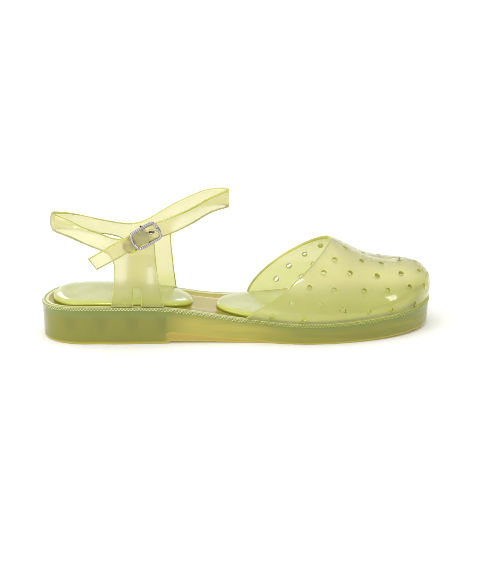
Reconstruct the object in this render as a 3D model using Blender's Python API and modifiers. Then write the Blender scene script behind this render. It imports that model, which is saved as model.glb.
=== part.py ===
"""Jelly slingback sandal for the right foot, as the pieces it is moulded and assembled from.

The shoe's own frame: X from heel to toe, Y from the outer side (-) to the inner side (+),
Z up from the floor. Sizes are in millimetres, and MM turns them into metres.
"""
import math
from collections import namedtuple

import bmesh
import bpy
from mathutils import Matrix, Vector

MM = 0.001
GAP = 0.3                    # clearance between pieces that sit on each other

# Which side of the shoe a value belongs to, as the sign of Y
OUTER, INNER = -1, 1

# Driving sizes of the last and the sole
LENGTH = 254.0               # outsole, heel back to toe tip
HEEL_X, TOE_X = -LENGTH / 2, LENGTH / 2
HEEL_ROUND = 32.0            # length of the heel's round end
TOE_ROUND_START = {OUTER: 48.0, INNER: 56.0}
TOE_ROUND_POWER = {OUTER: 2.2, INNER: 2.0}      # 2 is an ellipse, more is blunter
HEEL_ROUND_POWER = {OUTER: 2.2, INNER: 1.9}
HEEL_TIP_Y, TOE_TIP_Y = -5.0, -2.0

# Half widths of the rim from heel to ball
OUTLINE_COLUMNS = ("x", "outer", "inner")
OUTLINE = (
    (-95.0, 33.7, 26.6),
    (-78.0, 36.0, 24.6),
    (-60.0, 37.0, 21.2),
    (-37.0, 38.6, 16.5),
    (-22.0, 39.8, 15.9),
    (-5.0, 41.2, 19.3),
    (10.0, 43.0, 23.8),
    (24.0, 46.8, 29.0),
    (40.0, 50.4, 34.5),
    (50.0, 51.0, 37.0),
    (62.0, 51.0, 38.8),
)

# Height of the rim above the floor at x: heel, waist, ball, toe spring
RIM_HEIGHT = (
    (-127.0, 23.2),
    (-112.0, 24.7),
    (-95.0, 25.0),
    (-60.0, 24.5),
    (-46.0, 23.5),
    (-34.0, 21.9),
    (-20.0, 19.5),
    (-2.0, 16.6),
    (12.0, 15.2),
    (28.0, 14.1),
    (48.0, 13.8),
    (70.0, 14.3),
    (95.0, 15.7),
    (112.0, 17.2),
    (127.0, 19.0),
)

# Height of the tread above the floor: flat heel, raised waist, flat ball, toe spring
HEEL_BREAST_X = -44.0
HEEL_STEP_RUN = 2.0
WAIST_LIFT = 1.5
WAIST_END_X, BALL_X, SPRING_X = -40.0, 14.0, 58.0
TOE_SPRING, SPRING_POWER = 2.6, 1.8

SOLE_STATIONS = 34
SIDE_TAPER = 1.3             # the tread is this much smaller than the rim all round
TREAD_EDGE = 0.9             # soft lower edge
HEEL_CAP, TOE_CAP = 34.0, 48.0    # the tread's and footbed's midline stops this far from the ends
RIM_LIP = 2.6                # height of the corded lip on the rim
LIP_STEP = 0.7               # how far the lip stands out of the side wall
RIM_EDGE = 0.8
FLANGE = 4.4                 # flat width of the rim's top
FOOTBED_DROP = 0.8           # the footbed lies this far below the rim

# Cushion pads on the footbed
PAD_INSET = 5.7              # from the rim's edge
PAD_ROUND = 2.2
PAD_STATIONS = 18
HEEL_PAD_X = (-119.0, -29.5)
HEEL_PAD_ROUND = (12.0, 28.0)
FOREFOOT_PAD_X = (-14.5, 118.0)
FOREFOOT_PAD_ROUND = (30.0, 16.0)
FOREFOOT_PAD_SKEW = -6.0     # its rear end points to the outer side
# From underside to crown: share of the pad's outline, height above the rim
PAD_SECTION = ((0.94, GAP - FOOTBED_DROP), (1.0, 0.5), (0.992, 1.2), (0.965, 2.1), (0.91, 2.65), (0.5, 3.1))

# Toe upper
WALL = 2.0
UPPER_INSET = 1.2            # outer face of the uppers, in from the rim's edge
THROAT_X = {OUTER: 0.5, INNER: 8.5}
THROAT_PEAK_X = 61.0
THROAT_POWER = {OUTER: 1.6, INNER: 1.5}
INNER_THROAT_REACH = 1.08    # the inner edge reaches the peak's X before the crest
VAMP_TIP_X = TOE_X - UPPER_INSET
RIDGE_END_X = 99.0
RIDGE_TURN_X = 62.0
TOE_BULGE = 0.057            # share of the way in by which the toe swells
VAMP_STEPS_ALONG, VAMP_STEPS_ROUND = 18, 26

# Crest of the toe upper: height, and offset to the inner side
CREST_COLUMNS = ("x", "height", "offset")
CREST = (
    (0.0, 65.0, -2.0),
    (40.0, 59.6, -1.5),
    (61.0, 57.6, -1.0),
    (68.0, 54.8, -1.2),
    (77.0, 49.7, -1.4),
    (88.0, 44.4, -1.7),
    (99.0, 41.6, -2.0),
)
SECTION_POWER = ((0.0, 2.0), (75.0, 2.0), (105.0, 2.4), (127.0, 3.8))     # 2 is an ellipse

# Round perforations, a row for each column of holes: its shares run from the rim (0) to the crest
# (1), and a hole's place along from throat to toe is start + drift * share + curl * share ** 3
HOLE_RADIUS = 1.7
HOLE_SIDES = 8
HOLE_REACH = 4.0
INNER_ALONG_SHIFT, INNER_SHARE_SHIFT = 0.025, 0.07    # the inner side's holes lie further in
MIDDLE_SHARE, MIDDLE_ALONG = 0.92, 0.97    # past these a hole lies on the middle, once
HoleColumn = namedtuple("HoleColumn", "start drift curl shares")
HOLES = (
    HoleColumn(0.065, 0.050, 0.00, (0.04, 0.18, 0.33, 0.48, 0.63, 0.88)),
    HoleColumn(0.168, 0.090, 0.00, (0.04, 0.18, 0.31, 0.51, 0.76, 1.00)),
    HoleColumn(0.275, 0.165, 0.00, (0.12, 0.34, 0.57, 0.84)),
    HoleColumn(0.395, 0.150, 0.42, (0.10, 0.35, 0.60, 0.93)),
    HoleColumn(0.520, 0.220, 1.20, (0.06, 0.32, 0.52, 0.66)),
    HoleColumn(0.690, 0.150, 9.00, (0.03, 0.19, 0.28)),
)

# Ankle strap: the loop it follows seen from above, an oval of four arcs
STRAP_WALL = 2.2
LOOP_BACK_X, LOOP_FRONT_X = -120.9, -5.2
LOOP_MID_Y = -8.0
LOOP_HALF_WIDTH = 21.5
LOOP_END_RADIUS = 7.0
LEAN_TOP_Z = 58.0            # below this the quarters lean out to the rim
LEAN_DROP = 0.5              # the leaning foot's inner edge hangs this much lower
OVERLAP_LIFT = 6.0           # the instep strap passes this far outside the outer quarter
LIFT_START, LIFT_FULL = 52.0, 18.0
SLOT_HALF_WIDTH = 2.5
SLOT_TOP_Z = 37.5
SLOT_CORNER = 1.1

# Buckle, in its own frame: along the strap, across it, out of it
BUCKLE_X, BUCKLE_Z = -61.8, 72.3
BUCKLE_TILT = math.radians(29.0)
WIRE = 0.85
FRAME_HALF_LENGTH, FRAME_HALF_WIDTH = 9.1, 5.8
FRAME_CORNER, FRAME_BOW = 2.2, 0.6
BAR_WIRE = 0.7
SLEEVE_RADIUS = 1.6
TAB_LENGTH, TAB_HALF_WIDTH, TAB_WALL = 17.0, 4.4, 1.4
TAB_END_RADIUS, TAB_END_DROP = 5.4, 2.2
PRONG_WIRE = 0.6
PRONG_SLOT = 2.4
STRAP_HOLE_RADIUS = 1.5
STRAP_HOLE_ALONG = 4.0

CLEAR_LIME = (0.80, 0.82, 0.36, 1.0)
DEEP_LIME = (0.42, 0.46, 0.10, 1.0)
PALE_LIME = (0.66, 0.74, 0.30, 1.0)
SILVER = (0.80, 0.80, 0.82, 1.0)


# Curves through short tables

def smooth_value(rows, x, column=1):
    """Value at x of a smooth curve through a table's rows, level beyond its ends."""
    if x <= rows[0][0]:
        return rows[0][column]
    if x >= rows[-1][0]:
        return rows[-1][column]
    slopes = []
    for low, high in zip(rows, rows[1:]):
        slopes.append((high[column] - low[column]) / (high[0] - low[0]))
    tangents = [slopes[0]]
    for before, after in zip(slopes, slopes[1:]):
        level = before * after <= 0
        tangents.append(0.0 if level else 2 * before * after / (before + after))
    tangents.append(slopes[-1])
    i = max(k for k in range(len(rows) - 1) if rows[k][0] <= x)
    run = rows[i + 1][0] - rows[i][0]
    t = (x - rows[i][0]) / run
    start = (1 + 2 * t) * (1 - t) ** 2 * rows[i][column]
    start += t * (1 - t) ** 2 * run * tangents[i]
    end = t * t * (3 - 2 * t) * rows[i + 1][column]
    end += t * t * (t - 1) * run * tangents[i + 1]
    return start + end


def ease(t):
    """0 to 1 with level ends."""
    t = min(1.0, max(0.0, t))
    return t * t * (3 - 2 * t)


def round_off(t, power):
    """1 at t = 0, falling to 0 at t = 1 along a superellipse."""
    t = min(1.0, max(0.0, t))
    return (1 - t ** power) ** (1 / power)


# The last: outline and heights

def half_width(x, side):
    """Half width of the rim at x, on one side."""
    column = OUTLINE_COLUMNS.index("outer" if side == OUTER else "inner")
    tip = side * (HEEL_TIP_Y if x < 0 else TOE_TIP_Y)
    width = smooth_value(OUTLINE, x, column) - tip
    heel = round_off((HEEL_X + HEEL_ROUND - x) / HEEL_ROUND, HEEL_ROUND_POWER[side])
    start = TOE_ROUND_START[side]
    toe = round_off((x - start) / (TOE_X - start), TOE_ROUND_POWER[side])
    return tip + width * heel * toe


def rim_z(x):
    """Height of the rim at x."""
    return smooth_value(RIM_HEIGHT, x)


def tread_z(x):
    """Height of the tread at x."""
    if x <= HEEL_BREAST_X:
        return 0.0
    if x <= BALL_X:
        return WAIST_LIFT * (1 - ease((x - WAIST_END_X) / (BALL_X - WAIST_END_X)))
    return TOE_SPRING * max(0.0, (x - SPRING_X) / (TOE_X - SPRING_X)) ** SPRING_POWER


def footbed_z(x):
    """Height of the recessed footbed at x."""
    return rim_z(x) - FOOTBED_DROP


def end_spaced(low, high, count):
    """Stations from low to high, closer together at both ends."""
    middle, half = (low + high) / 2, (high - low) / 2
    return [middle - half * math.cos(math.pi * i / count) for i in range(count + 1)]


def inset_point(x, side, inset):
    """A point on the rim's outline at x, moved in by inset along the outline's normal."""
    step = 0.01
    low, high = x - step, x + step
    along = Vector((high - low, side * (half_width(high, side) - half_width(low, side))))
    if min(x - HEEL_X, TOE_X - x) < step:
        out = Vector((math.copysign(1.0, x), 0.0))
    else:
        out = Vector((-along.y, along.x)).normalized() * side
    return Vector((x, side * half_width(x, side))) - out * inset


# Meshes, materials and objects

def collection(name):
    """A new collection in the scene."""
    made = bpy.data.collections.new(name)
    bpy.context.scene.collection.children.link(made)
    return made


def finish(name, colour, roughness, metallic=0.0):
    """A plain Principled material."""
    made = bpy.data.materials.new(name)
    made.use_nodes = True
    shader = made.node_tree.nodes["Principled BSDF"]
    shader.inputs["Base Color"].default_value = colour
    shader.inputs["Roughness"].default_value = roughness
    shader.inputs["Metallic"].default_value = metallic
    return made


def add_part(name, mesh_or_curve, material, parts, parent):
    """A named object for one piece, under the shoe's empty."""
    made = bpy.data.objects.new(name, mesh_or_curve)
    parts.objects.link(made)
    made.data.materials.append(material)
    made.parent = parent
    return made


def mesh_from(name, bm):
    """A smooth-shaded mesh in metres from a bmesh in millimetres."""
    bmesh.ops.scale(bm, vec=(MM, MM, MM), verts=bm.verts)
    mesh = bpy.data.meshes.new(name)
    bm.to_mesh(mesh)
    bm.free()
    mesh.shade_smooth()
    mesh.set_sharp_from_angle(angle=math.radians(35))
    return mesh


def mapped_grid(columns, rows, place):
    """A grid of columns by rows cells whose corner (i, j) is moved to place(i, j)."""
    bm = bmesh.new()
    bmesh.ops.create_grid(bm, x_segments=columns, y_segments=rows, size=1.0)
    for vert in bm.verts:
        i = round((vert.co.x + 1) / 2 * columns)
        j = round((vert.co.y + 1) / 2 * rows)
        vert.co = place(i, j)
    return bm


def close_up(bm):
    """Welds a mapped grid's seams into one closed skin that faces out."""
    bmesh.ops.remove_doubles(bm, verts=bm.verts, dist=0.002)
    bmesh.ops.dissolve_degenerate(bm, edges=bm.edges, dist=0.002)
    bmesh.ops.recalc_face_normals(bm, faces=bm.faces)
    if bm.calc_volume(signed=True) < 0:
        bmesh.ops.reverse_faces(bm, faces=bm.faces)
    return bm


def closed_form(stations, levels, ring_point, midline):
    """A closed solid whose rings, one for each level, run round the stations on both sides.

    A level is (amount, height function), and ring_point(x, side, amount) gives its outline.
    The first and last rings are drawn in to the midline, which closes the underside and the top.
    """
    ring = [(x, OUTER) for x in stations] + [(x, INNER) for x in reversed(stations[1:-1])]

    def place(i, j):
        x, side = ring[i % len(ring)]
        amount, height = levels[min(len(levels), max(1, j)) - 1]
        closing = j in (0, len(levels) + 1)
        at = midline(x) if closing else ring_point(x, side, amount)
        return Vector((at.x, at.y, height(at.x)))

    return close_up(mapped_grid(len(ring), len(levels) + 1, place))


def boolean(target, other, operation):
    """A live Boolean on target, with other as its operand."""
    modifier = target.modifiers.new(operation.title(), "BOOLEAN")
    modifier.operation = operation
    modifier.object = other
    return modifier


def as_cutter(bm, name, cutters, parent):
    """A hidden wire object that other pieces are cut or joined with."""
    made = bpy.data.objects.new(name, mesh_from(name, bm))
    cutters.objects.link(made)
    made.parent = parent
    made.hide_render = True
    made.display_type = "WIRE"
    return made


# Sole

HALFWAY = "halfway to the midline"


def make_sole(parts, parent):
    """The moulded block: tread, side wall, corded lip, flange and recessed footbed."""
    stations = end_spaced(HEEL_X, TOE_X, SOLE_STATIONS)
    stations += [HEEL_BREAST_X - HEEL_STEP_RUN / 2, HEEL_BREAST_X + HEEL_STEP_RUN / 2]
    stations.sort()

    def midline(x):
        x = min(TOE_X - TOE_CAP, max(HEEL_X + HEEL_CAP, x))
        return Vector((x, (half_width(x, INNER) - half_width(x, OUTER)) / 2))

    def ring_point(x, side, inset):
        if inset == HALFWAY:
            return inset_point(x, side, FLANGE).lerp(midline(x), 0.5)
        return inset_point(x, side, inset)

    levels = (
        (HALFWAY, tread_z),
        (SIDE_TAPER + TREAD_EDGE, tread_z),
        (SIDE_TAPER, lambda x: tread_z(x) + TREAD_EDGE),
        (LIP_STEP, lambda x: rim_z(x) - RIM_LIP - LIP_STEP),
        (0.0, lambda x: rim_z(x) - RIM_LIP),
        (0.0, lambda x: rim_z(x) - RIM_EDGE),
        (RIM_EDGE, rim_z),
        (FLANGE, rim_z),
        (FLANGE + RIM_EDGE, footbed_z),
        (HALFWAY, footbed_z),
    )
    bm = closed_form(stations, levels, ring_point, midline)
    material = finish("sole_jelly", DEEP_LIME, 0.25)
    return add_part("sole", mesh_from("sole", bm), material, parts, parent)


# Cushion pads

def make_pad(name, ends, rounds, skew, parts, parent):
    """A pillow-topped pad between two ends, inside the rim by PAD_INSET."""
    low, high = ends

    def middle(x):
        centre = (half_width(x, INNER) - half_width(x, OUTER)) / 2
        return centre + skew * round_off((x - low) / rounds[0], 1.2)

    def midline(x):
        x = min(high - 0.8 * rounds[1], max(low + 0.8 * rounds[0], x))
        return Vector((x, middle(x)))

    def ring_point(x, side, share):
        near = round_off((low + rounds[0] - x) / rounds[0], PAD_ROUND)
        far = round_off((x - high + rounds[1]) / rounds[1], PAD_ROUND)
        reach = side * half_width(x, side) - side * PAD_INSET - middle(x)
        edge = Vector((x, middle(x) + reach * near * far))
        return midline(x).lerp(edge, share)

    levels = [(share, lambda x, rise=rise: rim_z(x) + rise) for share, rise in PAD_SECTION]
    bm = closed_form(end_spaced(low, high, PAD_STATIONS), levels, ring_point, midline)
    material = finish(name + "_jelly", PALE_LIME, 0.2)
    return add_part(name, mesh_from(name, bm), material, parts, parent)


# Toe upper

def throat_x(share, side):
    """X of the throat's edge, share of the way round from the rim to the crest."""
    if side == OUTER:
        run = 1 - (1 - share) ** THROAT_POWER[OUTER]
    else:
        turn = math.pi / 2 * min(1.0, INNER_THROAT_REACH * share)
        run = math.sin(turn) ** THROAT_POWER[INNER]
    return THROAT_X[side] + (THROAT_PEAK_X - THROAT_X[side]) * run


def vamp_point(along, share, side):
    """A point of the toe upper's outer face.

    along runs from the throat (0) to the toe tip (1), share from the rim (0) to the crest (1).
    """
    start = throat_x(share, side)
    x = start + (VAMP_TIP_X - start) * math.sin(math.pi / 2 * along)
    turn = max(0.0, (x - RIDGE_TURN_X) / (VAMP_TIP_X - RIDGE_TURN_X))
    crest_x = x - (VAMP_TIP_X - RIDGE_END_X) * turn ** 2.2
    outline_x = HEEL_X + (x - HEEL_X) * LENGTH / (VAMP_TIP_X - HEEL_X)
    base = inset_point(outline_x, side, UPPER_INSET)
    base_z = rim_z(x) + GAP
    crest = [smooth_value(CREST, crest_x, CREST_COLUMNS.index(c)) for c in ("height", "offset")]
    power = smooth_value(SECTION_POWER, x)
    inward = 1 - max(0.0, math.cos(math.pi / 2 * share)) ** (2 / power)
    upward = math.sin(math.pi / 2 * share) ** (2 / power)
    inward -= TOE_BULGE * turn * math.sin(math.pi * upward)
    return Vector((
        base.x + (crest_x - base.x) * inward,
        base.y + (crest[1] - base.y) * inward,
        base_z + (crest[0] - base_z) * upward,
    ))


def vamp_normal(along, share, side):
    """Outward normal of the toe upper."""
    step = 0.01
    low, high = max(0.0, along - step), min(1.0, along + step)
    down, up = max(0.0, share - step), min(1.0, share + step)
    forward = vamp_point(high, share, side) - vamp_point(low, share, side)
    upward = vamp_point(along, up, side) - vamp_point(along, down, side)
    return forward.cross(upward).normalized() * -side


def hole_places():
    """The middle and the direction of each perforation."""
    for column in HOLES:
        for share in column.shares:
            along = min(1.0, column.start + column.drift * share + column.curl * share ** 3)
            yield vamp_point(along, share, OUTER), vamp_normal(along, share, OUTER)
            if share < MIDDLE_SHARE and along < MIDDLE_ALONG:
                along += INNER_ALONG_SHIFT * (1 - along)
                share += INNER_SHARE_SHIFT * (1 - share)
                yield vamp_point(along, share, INNER), vamp_normal(along, share, INNER)


def make_vamp(parts, cutters, parent):
    """The closed toe: one wall, open at the throat and underneath, with its holes cut."""
    half = VAMP_STEPS_ROUND // 2

    def place(i, j):
        side = OUTER if j <= half else INNER
        share = 1 - abs(j - half) / half
        return vamp_point(i / VAMP_STEPS_ALONG, share, side)

    bm = mapped_grid(VAMP_STEPS_ALONG, VAMP_STEPS_ROUND, place)
    bmesh.ops.remove_doubles(bm, verts=bm.verts, dist=0.002)
    bmesh.ops.recalc_face_normals(bm, faces=bm.faces)
    material = finish("vamp_jelly", CLEAR_LIME, 0.15)
    vamp = add_part("vamp", mesh_from("vamp", bm), material, parts, parent)
    wall = vamp.modifiers.new("Wall", "SOLIDIFY")
    wall.thickness = WALL * MM
    wall.offset = -1.0
    wall.use_even_offset = True
    vamp.modifiers.new("Facets", "TRIANGULATE")

    drill = bmesh.new()
    for middle, out in hole_places():
        turn = out.to_track_quat("Z", "Y").to_matrix().to_4x4()
        bmesh.ops.create_cone(
            drill, cap_ends=True, segments=HOLE_SIDES, radius1=HOLE_RADIUS, radius2=HOLE_RADIUS,
            depth=2 * HOLE_REACH, matrix=Matrix.Translation(middle - out * WALL / 2) @ turn)
    boolean(vamp, as_cutter(drill, "vamp_hole_drill", cutters, parent), "DIFFERENCE")
    return vamp


# Ankle strap

LOOP_MID_X = (LOOP_BACK_X + LOOP_FRONT_X) / 2
LOOP_HALF_LENGTH = (LOOP_FRONT_X - LOOP_BACK_X) / 2
END_CENTRE = LOOP_HALF_LENGTH - LOOP_END_RADIUS
SIDE_RADIUS = (END_CENTRE ** 2 + LOOP_HALF_WIDTH ** 2 - LOOP_END_RADIUS ** 2)
SIDE_RADIUS /= 2 * (LOOP_HALF_WIDTH - LOOP_END_RADIUS)
SIDE_CENTRE = SIDE_RADIUS - LOOP_HALF_WIDTH
SIDE_ANGLE = math.atan2(END_CENTRE, SIDE_CENTRE)
SIDE_HALF_RUN = SIDE_RADIUS * SIDE_ANGLE
END_RUN = LOOP_END_RADIUS * (math.pi - 2 * SIDE_ANGLE)
LOOP_RUN = 4 * SIDE_HALF_RUN + 2 * END_RUN


def loop_point(run):
    """(point, outward normal) of the loop after a run from the middle of the outer side.

    The run goes back round the heel, along the inner side, round the front and on.
    """
    rest = run % LOOP_RUN
    arcs = (
        (SIDE_HALF_RUN, SIDE_RADIUS, 0.0, (0.0, SIDE_CENTRE)),
        (END_RUN, LOOP_END_RADIUS, SIDE_ANGLE, (-END_CENTRE, 0.0)),
        (2 * SIDE_HALF_RUN, SIDE_RADIUS, math.pi - SIDE_ANGLE, (0.0, -SIDE_CENTRE)),
        (END_RUN, LOOP_END_RADIUS, math.pi + SIDE_ANGLE, (END_CENTRE, 0.0)),
        (SIDE_HALF_RUN, SIDE_RADIUS, 2 * math.pi - SIDE_ANGLE, (0.0, SIDE_CENTRE)),
    )
    for length, radius, angle, centre in arcs:
        if rest <= length:
            break
        rest -= length
    angle += rest / radius
    out = Vector((-math.sin(angle), -math.cos(angle)))
    return Vector((LOOP_MID_X + centre[0], LOOP_MID_Y + centre[1])) + out * radius, out


def run_at(x, side, turn=0):
    """The run at which the loop passes x on one side, on its first or second turn."""
    angle = math.asin(max(-1.0, min(1.0, (LOOP_MID_X - x) / SIDE_RADIUS)))
    angle = max(-SIDE_ANGLE, min(SIDE_ANGLE, angle))
    if side == OUTER:
        return angle * SIDE_RADIUS + turn * LOOP_RUN
    return SIDE_HALF_RUN + END_RUN + (SIDE_ANGLE - angle) * SIDE_RADIUS


BACK_RUN = SIDE_HALF_RUN + END_RUN / 2
FRONT_RUN = LOOP_RUN - BACK_RUN


def strap_place(run, z):
    """A point of the strap's outer face from the flat pattern: run along it, and height."""
    before_end = LOOP_RUN - run
    lift = OVERLAP_LIFT * ease((LIFT_START - before_end) / (LIFT_START - LIFT_FULL))
    if run > LOOP_RUN:
        # The tail lies straight, past the middle of the outer side
        return Vector((LOOP_MID_X - (run - LOOP_RUN), LOOP_MID_Y - LOOP_HALF_WIDTH - lift, z))
    at, out = loop_point(run)
    at = at + out * lift
    side = OUTER if out.y < 0 else INNER
    foot_z = rim_z(at.x) + GAP
    if z < LEAN_TOP_Z:
        foot_y = inset_point(at.x, side, UPPER_INSET).y
        at.y += (foot_y - at.y) * (LEAN_TOP_Z - z) / (LEAN_TOP_Z - foot_z)
    return Vector((at.x, at.y, z))


# Flat pattern of the strap: an edge is a list of (x, z) on a named side
OUTER_QUARTER_FRONT = ((-56.3, 69.3), (-55.3, 62.8), (-54.8, 54.8), (-53.8, 44.0), (-52.0, 33.0))
OUTER_QUARTER_REAR = ((-83.0, 33.0), (-81.6, 45.0), (-81.9, 52.0), (-83.8, 56.5), (-88.0, 59.7))
INNER_QUARTER_REAR = ((-80.0, 60.4), (-73.4, 57.6), (-69.9, 52.6), (-68.7, 45.0), (-69.4, 33.0))
INNER_QUARTER_FRONT = ((-38.7, 33.0), (-40.2, 47.0), (-41.2, 58.6), (-40.8, 64.8), (-37.6, 70.1))
OUTER_FEET_X = (-50.2, -84.4)
INNER_FEET_X = (-70.2, -37.3)
OUTER_SLOT_X, INNER_SLOT_X = -67.6, -54.4
SLING_LOWER = ((OUTER, -102.0, 64.6), (OUTER, -112.0, 67.8), (None, BACK_RUN, 70.2),
               (INNER, -112.0, 68.0), (INNER, -100.0, 65.2), (INNER, -90.0, 62.6))
INSTEP_LOWER = ((INNER, -29.0, 75.6), (INNER, -17.0, 81.0), (None, FRONT_RUN, 82.6),
                (OUTER, -17.0, 81.7), (OUTER, -31.0, 77.4), (OUTER, -46.0, 72.4),
                (OUTER, -62.0, 66.9), (OUTER, -78.0, 58.2))
TAIL_END = ((-93.0, 50.4), (-98.5, 57.7))
INSTEP_UPPER = ((OUTER, -84.0, 65.9), (OUTER, -62.0, 77.6), (OUTER, -46.0, 83.2),
                (OUTER, -31.0, 87.6), (OUTER, -17.0, 91.7), (None, FRONT_RUN, 94.0),
                (INNER, -17.0, 91.9), (INNER, -29.0, 86.3), (INNER, -40.0, 80.3),
                (INNER, -50.0, 74.1), (INNER, -58.0, 69.5))
SLING_UPPER = ((INNER, -66.0, 67.7), (INNER, -75.0, 68.6), (INNER, -88.0, 72.0),
               (INNER, -100.0, 76.1), (INNER, -112.0, 80.1), (None, BACK_RUN, 82.1),
               (OUTER, -112.0, 79.9), (OUTER, -102.0, 75.7), (OUTER, -90.0, 71.6),
               (OUTER, -82.0, 68.8), (OUTER, -75.0, 68.5), (OUTER, -67.0, 71.4),
               (OUTER, -60.5, 72.6))
CUT_STEP, END_CUT_STEP = 5.0, 2.2
ROW_LOW_Z, ROW_STEP, ROWS = 22.0, 4.5, 16
CURVE_STEPS = 3


def on_pattern(rows, turn=0):
    """Rows of (side, x, z) as (run, z); a row with no side gives its run."""
    return [(x if side is None else run_at(x, side, turn if side == OUTER else 0), z)
            for side, x, z in rows]


def rounded(points):
    """More points along a smooth line through the given ones."""
    made = []
    ends = [points[0], *points, points[-1]]
    for before, start, end, after in zip(ends, ends[1:], ends[2:], ends[3:]):
        for k in range(CURVE_STEPS):
            t = k / CURVE_STEPS
            made.append(tuple(
                0.5 * (2 * b + (c - a) * t + (2 * a - 5 * b + 4 * c - d) * t * t
                       + (3 * b - a - 3 * c + d) * t ** 3)
                for a, b, c, d in zip(before, start, end, after)))
    return [*made, points[-1]]


def foot_edge(feet_x, slot_x, side):
    """The lower edge of a quarter: two feet on the rim, with the slot between them."""
    first = 1 if feet_x[1] > feet_x[0] else -1
    slot = [slot_x - first * SLOT_HALF_WIDTH, slot_x + first * SLOT_HALF_WIDTH]
    feet = [(run_at(x, side), rim_z(x) + GAP + LEAN_DROP)
            for x in (feet_x[0], slot[0], slot[1], feet_x[1])]
    shoulder, corner = SLOT_TOP_Z - SLOT_CORNER, first * SLOT_CORNER
    top = [(run_at(slot[0], side), shoulder), (run_at(slot[0] + corner, side), SLOT_TOP_Z),
           (run_at(slot[1] - corner, side), SLOT_TOP_Z), (run_at(slot[1], side), shoulder)]
    return [*feet[:2], *top, *feet[2:]]


def strap_pattern():
    """The outline of the whole strap, laid flat."""
    def side_rows(rows, side):
        return [(side, x, z) for x, z in rows]

    line = rounded(on_pattern(side_rows(OUTER_QUARTER_FRONT, OUTER)))
    line += foot_edge(OUTER_FEET_X, OUTER_SLOT_X, OUTER)
    sling = [*side_rows(OUTER_QUARTER_REAR, OUTER), *SLING_LOWER,
             *side_rows(INNER_QUARTER_REAR, INNER)]
    line += rounded(on_pattern(sling))
    line += foot_edge(INNER_FEET_X, INNER_SLOT_X, INNER)
    line += rounded(on_pattern([*side_rows(INNER_QUARTER_FRONT, INNER), *INSTEP_LOWER], 1))
    line += [(LOOP_RUN + LOOP_MID_X - x, z) for x, z in TAIL_END]
    upper = on_pattern(INSTEP_UPPER, 1) + on_pattern(SLING_UPPER)
    return line + rounded(upper)


def make_ankle_strap(parts, cutters, parent):
    """Quarters, sling and instep strap, cut flat in one piece and bent round the ankle."""
    bm = bmesh.new()
    bm.faces.new([bm.verts.new((run, 0.0, z)) for run, z in strap_pattern()])
    lengthwise, run = [], -20.0
    while run < LOOP_RUN + 40.0:
        lengthwise.append(run)
        bend = min(abs(run - BACK_RUN), abs(run - FRONT_RUN))
        run += END_CUT_STEP if bend < END_RUN / 2 + END_CUT_STEP else CUT_STEP
    cuts = [((x, 0, 0), (1, 0, 0)) for x in lengthwise]
    cuts += [((0, 0, ROW_LOW_Z + ROW_STEP * k), (0, 0, 1)) for k in range(ROWS)]
    for at, across in cuts:
        geometry = bm.verts[:] + bm.edges[:] + bm.faces[:]
        bmesh.ops.bisect_plane(bm, geom=geometry, dist=0.01, plane_co=at, plane_no=across)
    bmesh.ops.remove_doubles(bm, verts=bm.verts, dist=0.05)
    bmesh.ops.triangulate(bm, faces=[f for f in bm.faces if len(f.verts) > 4])
    for vert in bm.verts:
        vert.co = strap_place(vert.co.x, vert.co.z)
    bmesh.ops.recalc_face_normals(bm, faces=bm.faces)
    outward = sum(f.normal.dot(f.calc_center_median() - Vector((LOOP_MID_X, LOOP_MID_Y, 60.0)))
                  for f in bm.faces)
    if outward < 0:
        bmesh.ops.reverse_faces(bm, faces=bm.faces)
    material = finish("strap_jelly", CLEAR_LIME, 0.15)
    strap = add_part("ankle_strap", mesh_from("ankle_strap", bm), material, parts, parent)
    wall = strap.modifiers.new("Wall", "SOLIDIFY")
    wall.thickness = STRAP_WALL * MM
    wall.offset = -1.0
    wall.use_even_offset = True

    punch = bmesh.new()
    bmesh.ops.create_cone(
        punch, cap_ends=True, segments=12, radius1=STRAP_HOLE_RADIUS, radius2=STRAP_HOLE_RADIUS,
        depth=STRAP_WALL + 3.0,
        matrix=buckle_frame_matrix() @ Matrix.Translation(
            (STRAP_HOLE_ALONG, 0.0, OVERLAP_LIFT - STRAP_WALL / 2)))
    boolean(strap, as_cutter(punch, "prong_hole_punch", cutters, parent), "DIFFERENCE")
    return strap


# Buckle

BAR_OUT = GAP + SLEEVE_RADIUS            # the bar's axis above the quarter's face
FRAME_OUT = OVERLAP_LIFT + GAP + WIRE    # the frame's middle above the quarter's face


def buckle_frame_matrix():
    """The buckle's frame: X along the strap towards the toe, Y across it, Z out of it."""
    along = Vector((math.cos(BUCKLE_TILT), 0.0, math.sin(BUCKLE_TILT)))
    out = Vector((0.0, -1.0, 0.0))
    across = out.cross(along)
    turn = Matrix((along, across, out)).transposed().to_4x4()
    return Matrix.Translation((BUCKLE_X, LOOP_MID_Y - LOOP_HALF_WIDTH, BUCKLE_Z)) @ turn


def wire_mesh(points, radius, closed):
    """A closed bmesh of a round wire through points, from a bevelled curve."""
    data = bpy.data.curves.new("wire", "CURVE")
    data.dimensions = "3D"
    data.bevel_depth = radius
    data.bevel_resolution = 2
    data.use_fill_caps = True
    spline = data.splines.new("POLY")
    spline.points.add(len(points) - 1)
    for place, point in zip(spline.points, points):
        place.co = (*point, 1.0)
    spline.use_cyclic_u = closed
    wire = bpy.data.objects.new("wire", data)
    bpy.context.scene.collection.objects.link(wire)
    evaluated = wire.evaluated_get(bpy.context.evaluated_depsgraph_get())
    mesh = bpy.data.meshes.new_from_object(evaluated)
    bm = bmesh.new()
    bm.from_mesh(mesh)
    bpy.data.objects.remove(wire)
    bpy.data.meshes.remove(mesh)
    bmesh.ops.remove_doubles(bm, verts=bm.verts, dist=0.001)
    return bm


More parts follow.
